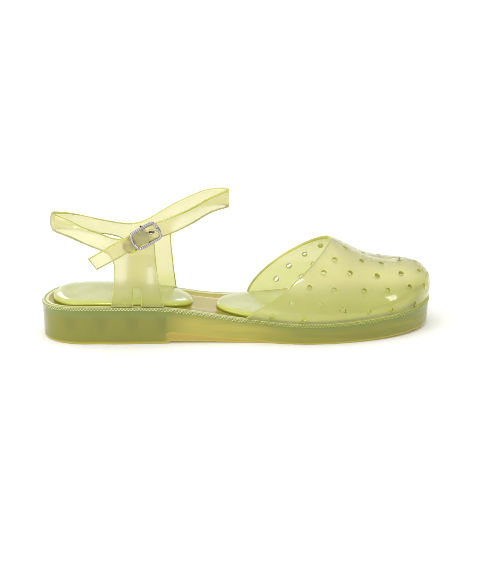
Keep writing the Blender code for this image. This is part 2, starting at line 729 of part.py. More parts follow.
def frame_line():
    """A rectangle with round corners and gently bowed ends, in the buckle's frame."""
    made = []
    for turn, (along, across) in enumerate(((1, -1), (1, 1), (-1, 1), (-1, -1))):
        centre = Vector((along * (FRAME_HALF_LENGTH - FRAME_CORNER - FRAME_BOW),
                         across * (FRAME_HALF_WIDTH - FRAME_CORNER)))
        for k in range(5):
            angle = math.pi / 2 * (turn - 1 + k / 4)
            made.append(centre + FRAME_CORNER * Vector((math.cos(angle), math.sin(angle))))
        if turn in (0, 2):
            made.append(Vector((along * FRAME_HALF_LENGTH, 0.0)))
    return [Vector((p.x, p.y, FRAME_OUT)) for p in made]


def make_buckle_frame(parts, cutters, parent):
    """The wire frame, with the bar that dips under the strap."""
    place = buckle_frame_matrix()
    ring = wire_mesh(frame_line(), WIRE, True)
    bmesh.ops.transform(ring, matrix=place, verts=ring.verts)
    material = finish("buckle_silver", SILVER, 0.15, 1.0)
    frame = add_part("buckle_frame", mesh_from("buckle_frame", ring), material, parts, parent)
    rail, turn = FRAME_HALF_WIDTH, 1.0
    bar_line = [Vector((0.0, side * across, out)) for side, across, out in (
        (-1, rail, FRAME_OUT), (-1, rail, BAR_OUT + turn), (-1, rail - turn, BAR_OUT),
        (1, rail - turn, BAR_OUT), (1, rail, BAR_OUT + turn), (1, rail, FRAME_OUT))]
    bar = wire_mesh(bar_line, BAR_WIRE, False)
    bmesh.ops.transform(bar, matrix=place, verts=bar.verts)
    boolean(frame, as_cutter(bar, "buckle_bar", cutters, parent), "UNION")
    return frame


def tube(inner, outer, length, at):
    """A short tube across the strap, round the bar, as a bmesh in the buckle's frame."""
    bm = bmesh.new()
    profile = [(inner, -length / 2), (outer, -length / 2), (outer, length / 2), (inner, length / 2)]
    corners = [bm.verts.new((radius, across + at, 0.0)) for radius, across in profile]
    line = [bm.edges.new((corners[k - 1], corners[k])) for k in range(len(corners))]
    bmesh.ops.spin(bm, geom=corners + line, angle=2 * math.pi, steps=16, axis=(0, 1, 0),
                   cent=(0, 0, 0), use_merge=True)
    bmesh.ops.remove_doubles(bm, verts=bm.verts, dist=0.001)
    bmesh.ops.recalc_face_normals(bm, faces=bm.faces)
    bmesh.ops.translate(bm, vec=(0, 0, BAR_OUT), verts=bm.verts)
    return bm


def make_buckle_tab(parts, cutters, parent):
    """The folded tab: a round-ended plate on the quarter, with two sleeves on the bar."""
    place = buckle_frame_matrix()
    bm = bmesh.new()
    half, radius = TAB_HALF_WIDTH, TAB_END_RADIUS
    arc = [math.pi / 2 + math.pi * k / 12 for k in range(13)]
    line = [(radius - TAB_LENGTH + radius * math.cos(a), radius * math.sin(a) - TAB_END_DROP)
            for a in arc]
    edge = -(BAR_WIRE + GAP + SLEEVE_RADIUS) / 2
    notch, slot = -SLEEVE_RADIUS - GAP, PRONG_SLOT / 2
    line += [(edge, -half), (edge, -slot), (notch, -slot), (notch, slot), (edge, slot), (edge, half)]
    plate = bm.faces.new([bm.verts.new((x, y, GAP)) for x, y in line])
    raised = bmesh.ops.extrude_face_region(bm, geom=[plate])
    top = [v for v in raised["geom"] if isinstance(v, bmesh.types.BMVert)]
    bmesh.ops.translate(bm, vec=(0, 0, TAB_WALL), verts=top)
    bmesh.ops.recalc_face_normals(bm, faces=bm.faces)
    bmesh.ops.transform(bm, matrix=place, verts=bm.verts)
    material = finish("tab_jelly", PALE_LIME, 0.5)
    tab = add_part("buckle_tab", mesh_from("buckle_tab", bm), material, parts, parent)
    width = TAB_HALF_WIDTH - PRONG_SLOT / 2 - 0.3
    for side in (-1, 1):
        sleeve = tube(BAR_WIRE + GAP, SLEEVE_RADIUS, width, side * (PRONG_SLOT + width + 0.3) / 2)
        bmesh.ops.transform(sleeve, matrix=place, verts=sleeve.verts)
        boolean(tab, as_cutter(sleeve, "tab_sleeve", cutters, parent), "UNION")
    return tab


def make_prong(parts, cutters, parent):
    """The prong: an eye on the bar and a pin through the strap onto the frame."""
    place = buckle_frame_matrix()
    eye = tube(BAR_WIRE + GAP, SLEEVE_RADIUS - 0.1, PRONG_SLOT - 2 * GAP, 0.0)
    bmesh.ops.transform(eye, matrix=place, verts=eye.verts)
    material = finish("prong_silver", SILVER, 0.15, 1.0)
    prong = add_part("buckle_prong", mesh_from("buckle_prong", eye), material, parts, parent)
    rest = FRAME_OUT + WIRE + PRONG_WIRE + GAP
    tip = FRAME_HALF_LENGTH + 0.4
    pin_line = [Vector((x, 0.0, out)) for x, out in (
        (1.2, BAR_OUT + 0.2), (2.6, BAR_OUT + 1.2), (STRAP_HOLE_ALONG, OVERLAP_LIFT - 1.1),
        (5.4, rest - 1.6), (6.9, rest), (tip, rest))]
    pin = wire_mesh(pin_line, PRONG_WIRE, False)
    bmesh.ops.transform(pin, matrix=place, verts=pin.verts)
    boolean(prong, as_cutter(pin, "prong_pin", cutters, parent), "UNION")
    return prong


def main():
    """Builds the sandal under one empty that centres its box on the origin."""
    for old in list(bpy.data.objects):
        bpy.data.objects.remove(old)
    parts, cutters = collection("jelly_slingback_sandal"), collection("cutters")
    shoe = bpy.data.objects.new("shoe_frame", None)
    parts.objects.link(shoe)
    widest = {side: max(half_width(x, side) for x in range(0, 100)) for side in (OUTER, INNER)}
    shoe.location = (0.0, (widest[OUTER] - widest[INNER]) / 2 * MM, 0.0)
    make_sole(parts, shoe)
    make_pad("heel_pad", HEEL_PAD_X, HEEL_PAD_ROUND, 0.0, parts, shoe)
    make_pad("forefoot_pad", FOREFOOT_PAD_X, FOREFOOT_PAD_ROUND, FOREFOOT_PAD_SKEW, parts, shoe)
    make_vamp(parts, cutters, shoe)
    make_ankle_strap(parts, cutters, shoe)
    make_buckle_tab(parts, cutters, shoe)
    make_buckle_frame(parts, cutters, shoe)
    make_prong(parts, cutters, shoe)


main()
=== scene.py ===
"""Looks of a jelly slingback sandal for the right foot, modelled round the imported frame.

The shoe's own frame: X from heel to toe, Y from the outer side (-) to the inner side (+),
Z up from the floor. Sizes are in millimetres until add_piece turns them into metres.
"""
import logging
import math
from bisect import bisect_right
from collections.abc import Callable, Iterator, Mapping, Sequence
from dataclasses import dataclass
from enum import Enum
from functools import cache, cached_property
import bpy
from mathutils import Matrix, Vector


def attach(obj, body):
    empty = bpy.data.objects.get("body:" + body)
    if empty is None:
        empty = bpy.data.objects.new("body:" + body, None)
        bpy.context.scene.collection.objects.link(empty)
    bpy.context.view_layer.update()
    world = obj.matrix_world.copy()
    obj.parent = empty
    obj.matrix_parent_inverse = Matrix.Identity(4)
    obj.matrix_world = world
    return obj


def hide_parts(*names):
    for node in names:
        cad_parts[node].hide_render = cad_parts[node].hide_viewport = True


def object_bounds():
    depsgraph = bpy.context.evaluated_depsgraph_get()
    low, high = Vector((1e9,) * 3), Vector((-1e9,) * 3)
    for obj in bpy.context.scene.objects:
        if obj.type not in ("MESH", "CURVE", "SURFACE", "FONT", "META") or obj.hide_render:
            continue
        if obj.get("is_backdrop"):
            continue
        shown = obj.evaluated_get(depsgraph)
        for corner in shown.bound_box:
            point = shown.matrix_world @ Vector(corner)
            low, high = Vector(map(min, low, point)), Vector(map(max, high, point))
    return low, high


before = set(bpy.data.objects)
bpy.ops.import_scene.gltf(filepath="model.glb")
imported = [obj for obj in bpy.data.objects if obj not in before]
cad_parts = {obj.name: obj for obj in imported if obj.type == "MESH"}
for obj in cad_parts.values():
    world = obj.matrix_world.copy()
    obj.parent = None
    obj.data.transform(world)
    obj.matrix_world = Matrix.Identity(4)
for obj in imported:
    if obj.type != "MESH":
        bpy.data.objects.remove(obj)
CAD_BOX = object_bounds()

from types import MappingProxyType

import bmesh
import bpy
from mathutils import Matrix, Vector
from mathutils.kdtree import KDTree

LOG = logging.getLogger("sandal")
MM = 0.001
BODY = "root"
GAP = 0.3                # between pieces of the buckle that sit on each other
FOOT_GAP = 0.06          # between the uppers' feet and the rim
FOOT_REACH = 0.8         # a cut edge this near the rim stands on it
HOLE_REACH = 1.25        # a cut edge within this many radii of a hole's middle is the hole's
HOLE_SOFTNESS = 0.2      # share of the usual softened width at holes
HOLE_CUT = 0.3           # cells that a hole's rim stays outside the removed corners
SETTLE_REACH = 4         # cells round a hole that are evened out
SETTLE_ROUNDS = 5
WELD = 0.002
EDGE_SEGMENTS = 3
DOME_STEPS = 4           # rings of a wire's domed end
SHARP_ANGLE = math.radians(40)
SOCKET_A, SOCKET_B, MIXED_COLOUR = 6, 7, 2    # the colour sockets of a Mix node

Colour = tuple[float, float, float, float]
Rows = tuple[tuple[float, ...], ...]
Pair = tuple[float, float]
Triple = tuple[float, float, float]
Mesh = bmesh.types.BMesh
Piece = bpy.types.Object
Socket = bpy.types.NodeSocket


class Side(Enum):
    """A side of the shoe, with the sign of its Y."""

    OUTER = -1
    INNER = 1


class Slot(Enum):
    """The material slots."""

    SOLE = "sole_jelly"
    PAD = "pad_jelly"
    UPPER = "upper_jelly"
    TAB = "tab_jelly"
    BUCKLE = "buckle_silver"


@dataclass(frozen=True)
class BySide:
    """A value for each side of the shoe."""

    outer: float
    inner: float

    def of(self, side: Side) -> float:
        """The value on one side."""
        return self.outer if side is Side.OUTER else self.inner


# Curves and easings

@dataclass(frozen=True)
class SmoothCurve:
    """A smooth curve through rows of (x, value), level beyond its ends."""

    rows: Rows

    @cached_property
    def stations(self) -> list[float]:
        """The rows' x values."""
        return [row[0] for row in self.rows]

    @cached_property
    def tangents(self) -> list[float]:
        """Slopes at the rows, level at each peak, so that the curve never overshoots.

        Returns:
            A slope for each row.
        """
        slopes = [(high[1] - low[1]) / (high[0] - low[0])
                  for low, high in zip(self.rows, self.rows[1:])]
        inner = [0.0 if a * b <= 0 else 2 * a * b / (a + b) for a, b in zip(slopes, slopes[1:])]
        return [slopes[0], *inner, slopes[-1]]

    def at(self, x: float) -> float:
        """Reads the curve.

        Args:
            x: Where to read it.

        Returns:
            The value at x.
        """
        if x <= self.rows[0][0]:
            return self.rows[0][1]
        if x >= self.rows[-1][0]:
            return self.rows[-1][1]
        i = bisect_right(self.stations, x) - 1
        (x0, start), (x1, end) = self.rows[i], self.rows[i + 1]
        run = x1 - x0
        t = (x - x0) / run
        value = (1 + 2 * t) * (1 - t) ** 2 * start + t * t * (3 - 2 * t) * end
        value += t * (1 - t) ** 2 * run * self.tangents[i]
        return value + t * t * (t - 1) * run * self.tangents[i + 1]


@cache
def curve_of(rows: Rows, column: int = 1) -> SmoothCurve:
    """The smooth curve of one column of a table, made once."""
    return SmoothCurve(tuple((row[0], row[column]) for row in rows))


def ease(t: float) -> float:
    """0 to 1 with level ends."""
    t = min(1.0, max(0.0, t))
    return t * t * (3 - 2 * t)


def ease_round(t: float) -> float:
    """0 to 1 along half a cosine wave."""
    return (1 - math.cos(math.pi * t)) / 2


def quarter_turn(steps: int) -> list[float]:
    """Even angles from 0 to a right angle."""
    return [math.pi / 2 * k / steps for k in range(steps + 1)]


def round_off(t: float, power: float) -> float:
    """1 at t = 0, falling to 0 at t = 1 along a superellipse."""
    t = min(1.0, max(0.0, t))
    return (1 - t ** power) ** (1 / power)


def rounded(points: Sequence[Pair], steps: int) -> list[Pair]:
    """More points on a smooth line through the given ones.

    Args:
        points: The line's own points.
        steps: Pieces that each stretch is cut into.

    Returns:
        The finer line, with both ends.
    """
    made = []
    ends = [points[0], *points, points[-1]]
    for before, start, end, after in zip(ends, ends[1:], ends[2:], ends[3:]):
        for k in range(steps):
            t = k / steps
            made.append(tuple(
                0.5 * (2 * b + (c - a) * t + (2 * a - 5 * b + 4 * c - d) * t * t
                       + (3 * b - a - 3 * c + d) * t ** 3)
                for a, b, c, d in zip(before, start, end, after)))
    return [*made, tuple(points[-1])]


# Meshes

def object_of(name: str, bm: Mesh) -> Piece:
    """An object in the scene with a bmesh's form.

    Args:
        name: Its name and its mesh's.
        bm: The form, used up.

    Returns:
        The object.
    """
    mesh = bpy.data.meshes.new(name)
    bm.to_mesh(mesh)
    bm.free()
    made = bpy.data.objects.new(name, mesh)
    bpy.context.scene.collection.objects.link(made)
    return made


def search_tree(points: Sequence[Vector]) -> KDTree:
    """A tree that finds the nearest of some points.

    Args:
        points: The points, which it knows by their places in the list.

    Returns:
        The balanced tree.
    """
    tree = KDTree(len(points))
    for k, point in enumerate(points):
        tree.insert(point, k)
    tree.balance()
    return tree


def both_sides(stations: Sequence[float]) -> list[tuple[float, Side]]:
    """Stations along the outer side and back along the inner one."""
    return [(x, Side.OUTER) for x in stations] + [(x, Side.INNER) for x in stations[-2:0:-1]]


def mapped_grid(columns: int, rows: int, place: Callable[[int, int], Vector],
                paint: Mapping[str, Callable[[int, int], float]] = MappingProxyType({})) -> Mesh:
    """A grid whose corners are moved to their places.

    Args:
        columns: Cells along.
        rows: Cells across.
        place: Gives the place of corner (i, j).
        paint: For each attribute that the finish reads, gives its value at corner (i, j).

    Returns:
        The moved grid.
    """
    bm = bmesh.new()
    for name in paint:
        bm.verts.layers.float.new(name)
    layers = [(bm.verts.layers.float[name], value) for name, value in paint.items()]
    bmesh.ops.create_grid(bm, x_segments=columns, y_segments=rows, size=1.0)
    for vert in bm.verts:
        i = round((vert.co.x + 1) / 2 * columns)
        j = round((vert.co.y + 1) / 2 * rows)
        vert.co = place(i, j)
        for layer, value in layers:
            vert[layer] = value(i, j)
    return bm


def close_up(bm: Mesh, weld: float = WELD) -> Mesh:
    """Welds a mapped grid's seams into one closed skin.

    Args:
        bm: The grid, changed in place.
        weld: How near two corners are one.

    Returns:
        The same bmesh, facing out.
    """
    bmesh.ops.remove_doubles(bm, verts=bm.verts, dist=weld)
    bmesh.ops.dissolve_degenerate(bm, edges=bm.edges, dist=weld)
    bmesh.ops.recalc_face_normals(bm, faces=bm.faces)
    if bm.calc_volume(signed=True) < 0:
        bmesh.ops.reverse_faces(bm, faces=bm.faces)
    return bm


def face_away(bm: Mesh, middle: Vector) -> None:
    """Turns an open sheet's faces away from a point inside it.

    Args:
        bm: The sheet, changed in place.
        middle: The point inside.
    """
    bmesh.ops.recalc_face_normals(bm, faces=bm.faces)
    outward = sum(f.normal.dot(f.calc_center_median() - middle) for f in bm.faces)
    if outward < 0:
        bmesh.ops.reverse_faces(bm, faces=bm.faces)


def settle(bm: Mesh, verts: Sequence[bmesh.types.BMVert], rounds: int) -> None:
    """Evens out a sheet's inner corners, with its edges held.

    Args:
        bm: The sheet, changed in place.
        verts: The corners to even out.
        rounds: How often.
    """
    free = [v for v in verts if v.is_valid and not v.is_boundary]
    for _ in range(rounds):
        bmesh.ops.smooth_vert(bm, verts=free, factor=0.5,
                              use_axis_x=True, use_axis_y=True, use_axis_z=True)


def tube(points: Sequence[Vector], radius: float, sides: int, across: Vector,
         closed: bool = False) -> Mesh:
    """A round wire along a flat line.

    Args:
        points: The wire's axis.
        radius: Its radius.
        sides: Cells round it.
        across: The normal of the plane that the axis lies in.
        closed: Whether the wire ends where it begins; if not, its ends are domed.

    Returns:
        A closed bmesh.
    """
    count = len(points)
    dome = 0 if closed else DOME_STEPS
    first = -dome
    last = count if closed else count - 1 + dome

    def place(i: int, j: int) -> Vector:
        """The wire's corner.

        Args:
            i: The ring along it.
            j: The side.

        Returns:
            Its place.
        """
        at = i + first
        k = at % count if closed else min(count - 1, max(0, at))
        before = points[k - 1] if closed or k else points[0]
        after = points[(k + 1) % count] if closed or k < count - 1 else points[-1]
        tangent = (after - before).normalized()
        over = 0 if closed else at - k
        lift = math.pi / 2 * over / dome if dome else 0.0
        angle = 2 * math.pi * j / sides
        ring = tangent.cross(across) * math.cos(angle) + across * math.sin(angle)
        return points[k] + radius * (ring * math.cos(lift) + tangent * math.sin(lift))

    return close_up(mapped_grid(last - first, sides, place))


def union(first: Mesh, second: Mesh) -> Mesh:
    """One skin round two closed forms that overlap.

    Args:
        first: A closed form, used up.
        second: Another, used up.

    Returns:
        The joined form.
    """
    made = [object_of("form", bm) for bm in (first, second)]
    joint = made[0].modifiers.new("Union", "BOOLEAN")
    joint.operation = "UNION"
    joint.object = made[1]
    evaluated = made[0].evaluated_get(bpy.context.evaluated_depsgraph_get())
    bm = bmesh.new()
    bm.from_mesh(evaluated.to_mesh())
    for form in made:
        mesh = form.data
        bpy.data.objects.remove(form)
        bpy.data.meshes.remove(mesh)
    return bm


def open_holes(bm: Mesh, places: Sequence[tuple[Vector, Vector]],
               radius: float, cell: float) -> None:
    """Opens round holes in a fine sheet and lets the mesh flow round them.

    Args:
        bm: The sheet, changed in place.
        places: Each hole's middle and direction.
        radius: The holes' radius.
        cell: The sheet's usual cell.
    """
    verts = list(bm.verts)
    tree = search_tree([vert.co for vert in verts])
    inside, rims = set(), []
    for middle, out in places:
        gone = {verts[i] for _, i, _ in tree.find_range(middle, radius - HOLE_CUT * cell)}
        rim = {v for g in gone for f in g.link_faces for v in f.verts} - gone
        near = {verts[i] for _, i, _ in tree.find_range(middle, radius + SETTLE_REACH * cell)}
        near -= gone | rim
        inside |= gone
        rims.append((middle, out, rim, near))
    bmesh.ops.delete(bm, geom=list(inside), context="VERTS")
    for middle, out, rim, near in rims:
        turn = out.to_track_quat("Z", "Y").to_matrix()
        flat = {v: turn.transposed() @ (v.co - middle) for v in rim}
        ordered = sorted(rim, key=lambda v: math.atan2(flat[v].y, flat[v].x))
        step = 2 * math.pi / len(ordered)
        start = sum(math.atan2(flat[v].y, flat[v].x) - step * k for k, v in enumerate(ordered))
        start /= len(ordered)
        for k, vert in enumerate(ordered):
            angle = start + step * k
            depth = flat[vert].z * (radius / flat[vert].to_2d().length) ** 2
            on_rim = Vector((radius * math.cos(angle), radius * math.sin(angle), depth))
            vert.co = middle + turn @ on_rim
        settle(bm, list(near), SETTLE_ROUNDS)


def add_piece(name: str, bm: Mesh, finish: "Finish", nodes: Sequence[str],
              shift_y: float) -> Piece:
    """Makes a piece of the part from a bmesh in the shoe's frame.

    Args:
        name: The piece's name.
        bm: Its form in millimetres, used up.
        finish: What it is dressed with.
        nodes: The CAD nodes that it stands for.
        shift_y: From the shoe's frame to the part's, in millimetres.

    Returns:
        The piece, riding on the shoe's body.
    """
    bmesh.ops.translate(bm, vec=(0, shift_y, 0), verts=bm.verts)
    bmesh.ops.scale(bm, vec=(MM, MM, MM), verts=bm.verts)
    piece = object_of(name, bm)
    piece.data.shade_smooth()
    piece.data.materials.append(finish.material())
    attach(piece, BODY)
    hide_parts(*nodes)
    return piece


def mark_free_edges(bm: Mesh, last: "Last", holes: Sequence[Vector], radius: float) -> None:
    """Marks the cut edges of a sheet that are to be softened: all but those that stand on the rim.

    Args:
        bm: The sheet, in the shoe's frame.
        last: The form whose rim they stand on.
        holes: The middles of its holes, whose edges are softened less.
        radius: The holes' radius.
    """
    weight = bm.edges.layers.float.new("bevel_weight_edge")
    for edge in bm.edges:
        if not edge.is_boundary:
            continue
        middle = (edge.verts[0].co + edge.verts[1].co) / 2
        if any((middle - hole).length < HOLE_REACH * radius for hole in holes):
            edge[weight] = HOLE_SOFTNESS
        elif any(v.co.z > last.rim_z(v.co.x) + FOOT_REACH for v in edge.verts):
            edge[weight] = 1.0


def give_wall(piece: Piece, wall: float, edge: float, cut: "Finish") -> None:
    """Gives a sheet its thickness, inwards, and softens and dresses its cut edges.

    Args:
        piece: The sheet.
        wall: Thickness in millimetres.
        edge: Width of the softened edge in millimetres.
        cut: What the cut edges are dressed with.
    """
    piece.data.materials.append(cut.material())
    solid = piece.modifiers.new("Wall", "SOLIDIFY")
    solid.thickness = wall * MM
    solid.offset = -1.0
    solid.use_even_offset = True
    solid.material_offset_rim = 1
    soft = piece.modifiers.new("Soft edges", "BEVEL")
    soft.width = edge * MM
    soft.segments = EDGE_SEGMENTS
    soft.limit_method = "WEIGHT"
    soft.material = 1
    soft.use_clamp_overlap = False


# Materials

def linear(code: str) -> Colour:
    """A linear colour from its screen code.

    Args:
        code: Six hexadecimal digits after a hash.

    Returns:
        Linear red, green, blue and an alpha of 1.
    """
    parts = [int(code[k:k + 2], 16) / 255 for k in (1, 3, 5)]
    bent = [p / 12.92 if p <= 0.04045 else ((p + 0.055) / 1.055) ** 2.4 for p in parts]
    return (*bent, 1.0)


class Tree:
    """Adds and links the nodes of one shader tree."""

    def __init__(self, tree: bpy.types.NodeTree) -> None:
        """Starts from an empty tree."""
        self.tree = tree
        tree.nodes.clear()

    def add(self, kind: str, sockets: Mapping[str | int, object] | None = None,
            **settings: object) -> bpy.types.Node:
        """Adds a node.

        Args:
            kind: The node's type, without its prefix.
            sockets: Values or colour codes for its inputs, or the outputs to link to them.
            **settings: The node's own settings.

        Returns:
            The node.
        """
        prefix = "" if kind.startswith("NodeGroup") else "ShaderNode"
        node = self.tree.nodes.new(prefix + kind)
        for name, value in settings.items():
            setattr(node, name, value)
        for key, value in (sockets or {}).items():
            if isinstance(value, Socket):
                self.tree.links.new(value, node.inputs[key])
            else:
                node.inputs[key].default_value = linear(value) if isinstance(value, str) else value
        return node

    def math(self, operation: str, first: object, second: object = 0.0) -> Socket:
        """The result of a Math node."""
        return self.add("Math", {0: first, 1: second}, operation=operation).outputs[0]

    def span(self, value: object, given: Pair, made: Pair = (0.0, 1.0), kind: str = "LINEAR") -> Socket:
        """A value brought from one range to another.

        Args:
            value: The value.
            given: Its range.
            made: The range of the result.
            kind: The way between the ends.

        Returns:
            The result.
        """
        sockets = {"Value": value, "From Min": given[0], "From Max": given[1],
                   "To Min": made[0], "To Max": made[1]}
        return self.add("MapRange", sockets, interpolation_type=kind).outputs[0]

    def ramp(self, value: object, low: float, high: float) -> Socket:
        """0 below low, 1 above high, and smooth between."""
        return self.span(value, (low, high), kind="SMOOTHSTEP")

    def mix(self, amount: object, first: object, second: object) -> Socket:
        """A colour between two."""
        sockets = {0: amount, SOCKET_A: first, SOCKET_B: second}
        return self.add("Mix", sockets, data_type="RGBA").outputs[MIXED_COLOUR]

    def layers(self, ground: object, *over: tuple[object, object]) -> Socket:
        """A colour with others laid over it.

        Args:
            ground: The lowest colour.
            *over: A mask and a colour for each layer, from the lowest up.

        Returns:
            The colour that shows.
        """
        for mask, colour in over:
            ground = self.mix(mask, ground, colour)
        return ground

    def let_through(self, shell: Socket, share: object, tint: Colour) -> Socket:
        """A shader that lets a share of the light straight through."""
        clear = self.add("BsdfTransparent", {"Color": tint}).outputs[0]
        return self.add("MixShader", {0: share, 1: shell, 2: clear}).outputs[0]

    def noise(self, vector: object, scale: float, detail: float = 3.0) -> Socket:
        """A grey noise, with its scale in waves to the metre."""
        sockets = {"Vector": vector, "Scale": scale, "Detail": detail}
        return self.add("TexNoise", sockets).outputs[0]

    def attribute(self, name: str) -> Socket:
        """A value that the mesh carries."""
        return self.add("Attribute", attribute_name=name).outputs["Fac"]

    def place(self, axis: str) -> Socket:
        """The place on the shoe along one axis, in metres."""
        return self.add("SeparateXYZ", {0: self.add("TexCoord").outputs["Object"]}).outputs[axis]

    def times(self, *factors: object) -> Socket:
        """The product of some values.

        Args:
            *factors: The values.

        Returns:
            Their product.
        """
        result = factors[0]
        for factor in factors[1:]:
            result = self.math("MULTIPLY", result, factor)
        return result

    def bump(self, height: object, strength: float, depth: float = MM) -> Socket:
        """The normal of a surface with a fine relief."""
        return self.add("Bump", {"Strength": strength, "Distance": depth, "Height": height}).outputs[0]

    def stretched(self, scale: Triple) -> Socket:
        """Object coordinates, scaled along each axis."""
        place = self.add("TexCoord").outputs["Object"]
        return self.add("Mapping", {"Vector": place, "Scale": scale}).outputs[0]


@dataclass(frozen=True)
class Finish:
    """What a piece is dressed with."""

    slot: Slot

    @property
    def name(self) -> str:
        """The material's name."""
        return self.slot.value + "_finish"

    def material(self) -> bpy.types.Material:
        """The finish's material, made once."""
        return bpy.data.materials.get(self.name) or self.made()

    def made(self) -> bpy.types.Material:
        """Makes the material.

        Returns:
            The new material.
        """
        material = bpy.data.materials.new(self.name)
        material.use_nodes = True
        self.fill(Tree(material.node_tree))
        return material

    def fill(self, tree: Tree) -> None:
        """Adds the finish's own nodes to its tree."""
        raise NotImplementedError


@dataclass(frozen=True)
class MouldedSkin:
    """The faint ripple and cloudiness of moulded PVC, shared by all the jelly finishes."""

    name: str = "moulded_skin"
    ripple_scale: float = 90.0
    grain_scale: float = 900.0
    grain_share: float = 0.15
    grain_detail: float = 2.0
    cloud_scale: float = 45.0
    cloud_from: Pair = (0.3, 0.7)

    def group(self) -> bpy.types.NodeTree:
        """The shared node group, made once.

        Returns:
            A group with the outputs Height and Cloud.
        """
        made = bpy.data.node_groups.get(self.name)
        if made:
            return made
        made = bpy.data.node_groups.new(self.name, "ShaderNodeTree")
        for label in ("Height", "Cloud"):
            made.interface.new_socket(label, in_out="OUTPUT", socket_type="NodeSocketFloat")
        tree = Tree(made)
        place = tree.stretched((1.0, 1.0, 1.0))
        ripple = tree.noise(place, self.ripple_scale)
        grain = tree.noise(place, self.grain_scale, self.grain_detail)
        sockets = {0: grain, 1: self.grain_share, 2: ripple}
        height = tree.add("Math", sockets, operation="MULTIPLY_ADD").outputs[0]
        cloud = tree.ramp(tree.noise(place, self.cloud_scale), *self.cloud_from)
        tree.add("NodeGroupOutput", {"Height": height, "Cloud": cloud})
        return made

    def place(self, tree: Tree) -> bpy.types.Node:
        """The group's node in a material."""
        return tree.add("Group", node_tree=self.group())


@dataclass(frozen=True)
class ClearJelly(Finish):
    """Hazy lime PVC of the uppers: light is tinted by the thickness that it goes through."""

    slot: Slot = Slot.UPPER
    film: Colour = (0.885, 0.85, 0.645, 1.0)
    painted_see_through_film: Colour = (0.815, 0.815, 0.48, 1.0)     # greener near the sole: painted see-through and reflection of the green pad and footbed behind the wall
    painted_see_through_from: Pair = (0.038, 0.028)
    wall_tint: Colour = (0.95, 0.955, 0.80, 1.0)    # light that the body of one wall lets through
    tint_wall: float = 2.0
    roughness: float = 0.28
    ior: float = 1.25
    clarity: float = 0.85
    coat: float = 0.7
    coat_roughness: float = 0.04
    ripple: float = 0.06

    def fill(self, tree: Tree) -> None:
        """Adds a refracting skin round an absorbing body, clear to lamps and to bounced light.

        Args:
            tree: The material's tree.
        """
        bump = tree.bump(MouldedSkin().place(tree).outputs["Height"], self.ripple)
        # Towards the sole the film turns greener: painted see-through and reflection of the green pad and
        # footbed behind the wall.
        colour = tree.mix(tree.ramp(tree.place("Z"), *self.painted_see_through_from), self.film, self.painted_see_through_film)
        shell = tree.add("BsdfPrincipled", {
            "Base Color": colour, "Roughness": self.roughness, "IOR": self.ior,
            "Transmission Weight": self.clarity, "Coat Weight": self.coat,
            "Coat Roughness": self.coat_roughness, "Normal": bump})
        path = tree.add("LightPath")
        passing = tree.math("MAXIMUM", path.outputs["Is Shadow Ray"], path.outputs["Is Diffuse Ray"])
        half_wall = tuple(math.sqrt(film * tint) for film, tint in zip(self.film, self.wall_tint))
        surface = tree.let_through(shell.outputs[0], passing, half_wall)
        losses = [-math.log(c) / (self.tint_wall * MM) for c in self.wall_tint[:3]]
        density = max(losses)
        kept = tuple(1 - loss / density for loss in losses)
        body = tree.add("VolumeAbsorption", {"Color": (*kept, 1.0), "Density": density})
        tree.add("OutputMaterial", {"Surface": surface, "Volume": body.outputs[0]})


@dataclass(frozen=True)
class WaxyPVC(Finish):
    """Cloudy PVC that glows a little under a gloss coat."""

    roughness: float = 0.25
    ior: float = 1.45
    ripple: float = 0.06
    glow: float = 0.35
    glow_radius: Triple = (0.004, 0.004, 0.0015)
    coat: float = 0.25
    coat_roughness: float = 0.1

    def shell(self, tree: Tree, colour: object, skin: bpy.types.Node) -> Socket:
        """Adds the body's shader.

        Args:
            tree: The material's tree.
            colour: The body's colour.
            skin: The moulded skin's node.

        Returns:
            The shader.
        """
        sockets = {
            "Base Color": colour, "Roughness": self.roughness, "IOR": self.ior,
            "Subsurface Weight": self.glow, "Subsurface Radius": self.glow_radius,
            "Subsurface Scale": 1.0, "Coat Weight": self.coat, "Coat Roughness": self.coat_roughness}
        if self.ripple:
            sockets["Normal"] = tree.bump(skin.outputs["Height"], self.ripple)
        return tree.add("BsdfPrincipled", sockets).outputs[0]


@dataclass(frozen=True)
class CutEdge(WaxyPVC):
    """Cut edges of the uppers, which gather the light of the whole sheet in a deeper olive."""

    slot: Slot = Slot.UPPER
    light: str = "#C6C86C"
    dark: str = "#A9AC4C"
    roughness: float = 0.3
    ior: float = 1.1
    ripple: float = 0.0
    glow: float = 0.3
    glow_radius: Triple = (0.002, 0.002, 0.001)
    coat: float = 0.1
    coat_roughness: float = 0.06

    @property
    def name(self) -> str:
        """The material's name, apart from that of the sheet's own."""
        return self.slot.value + "_edge"

    def fill(self, tree: Tree) -> None:
        """Adds a glowing body with soft clouds.

        Args:
            tree: The material's tree.
        """
        skin = MouldedSkin().place(tree)
        colour = tree.mix(skin.outputs["Cloud"], self.light, self.dark)
        tree.add("OutputMaterial", {"Surface": self.shell(tree, colour, skin)})


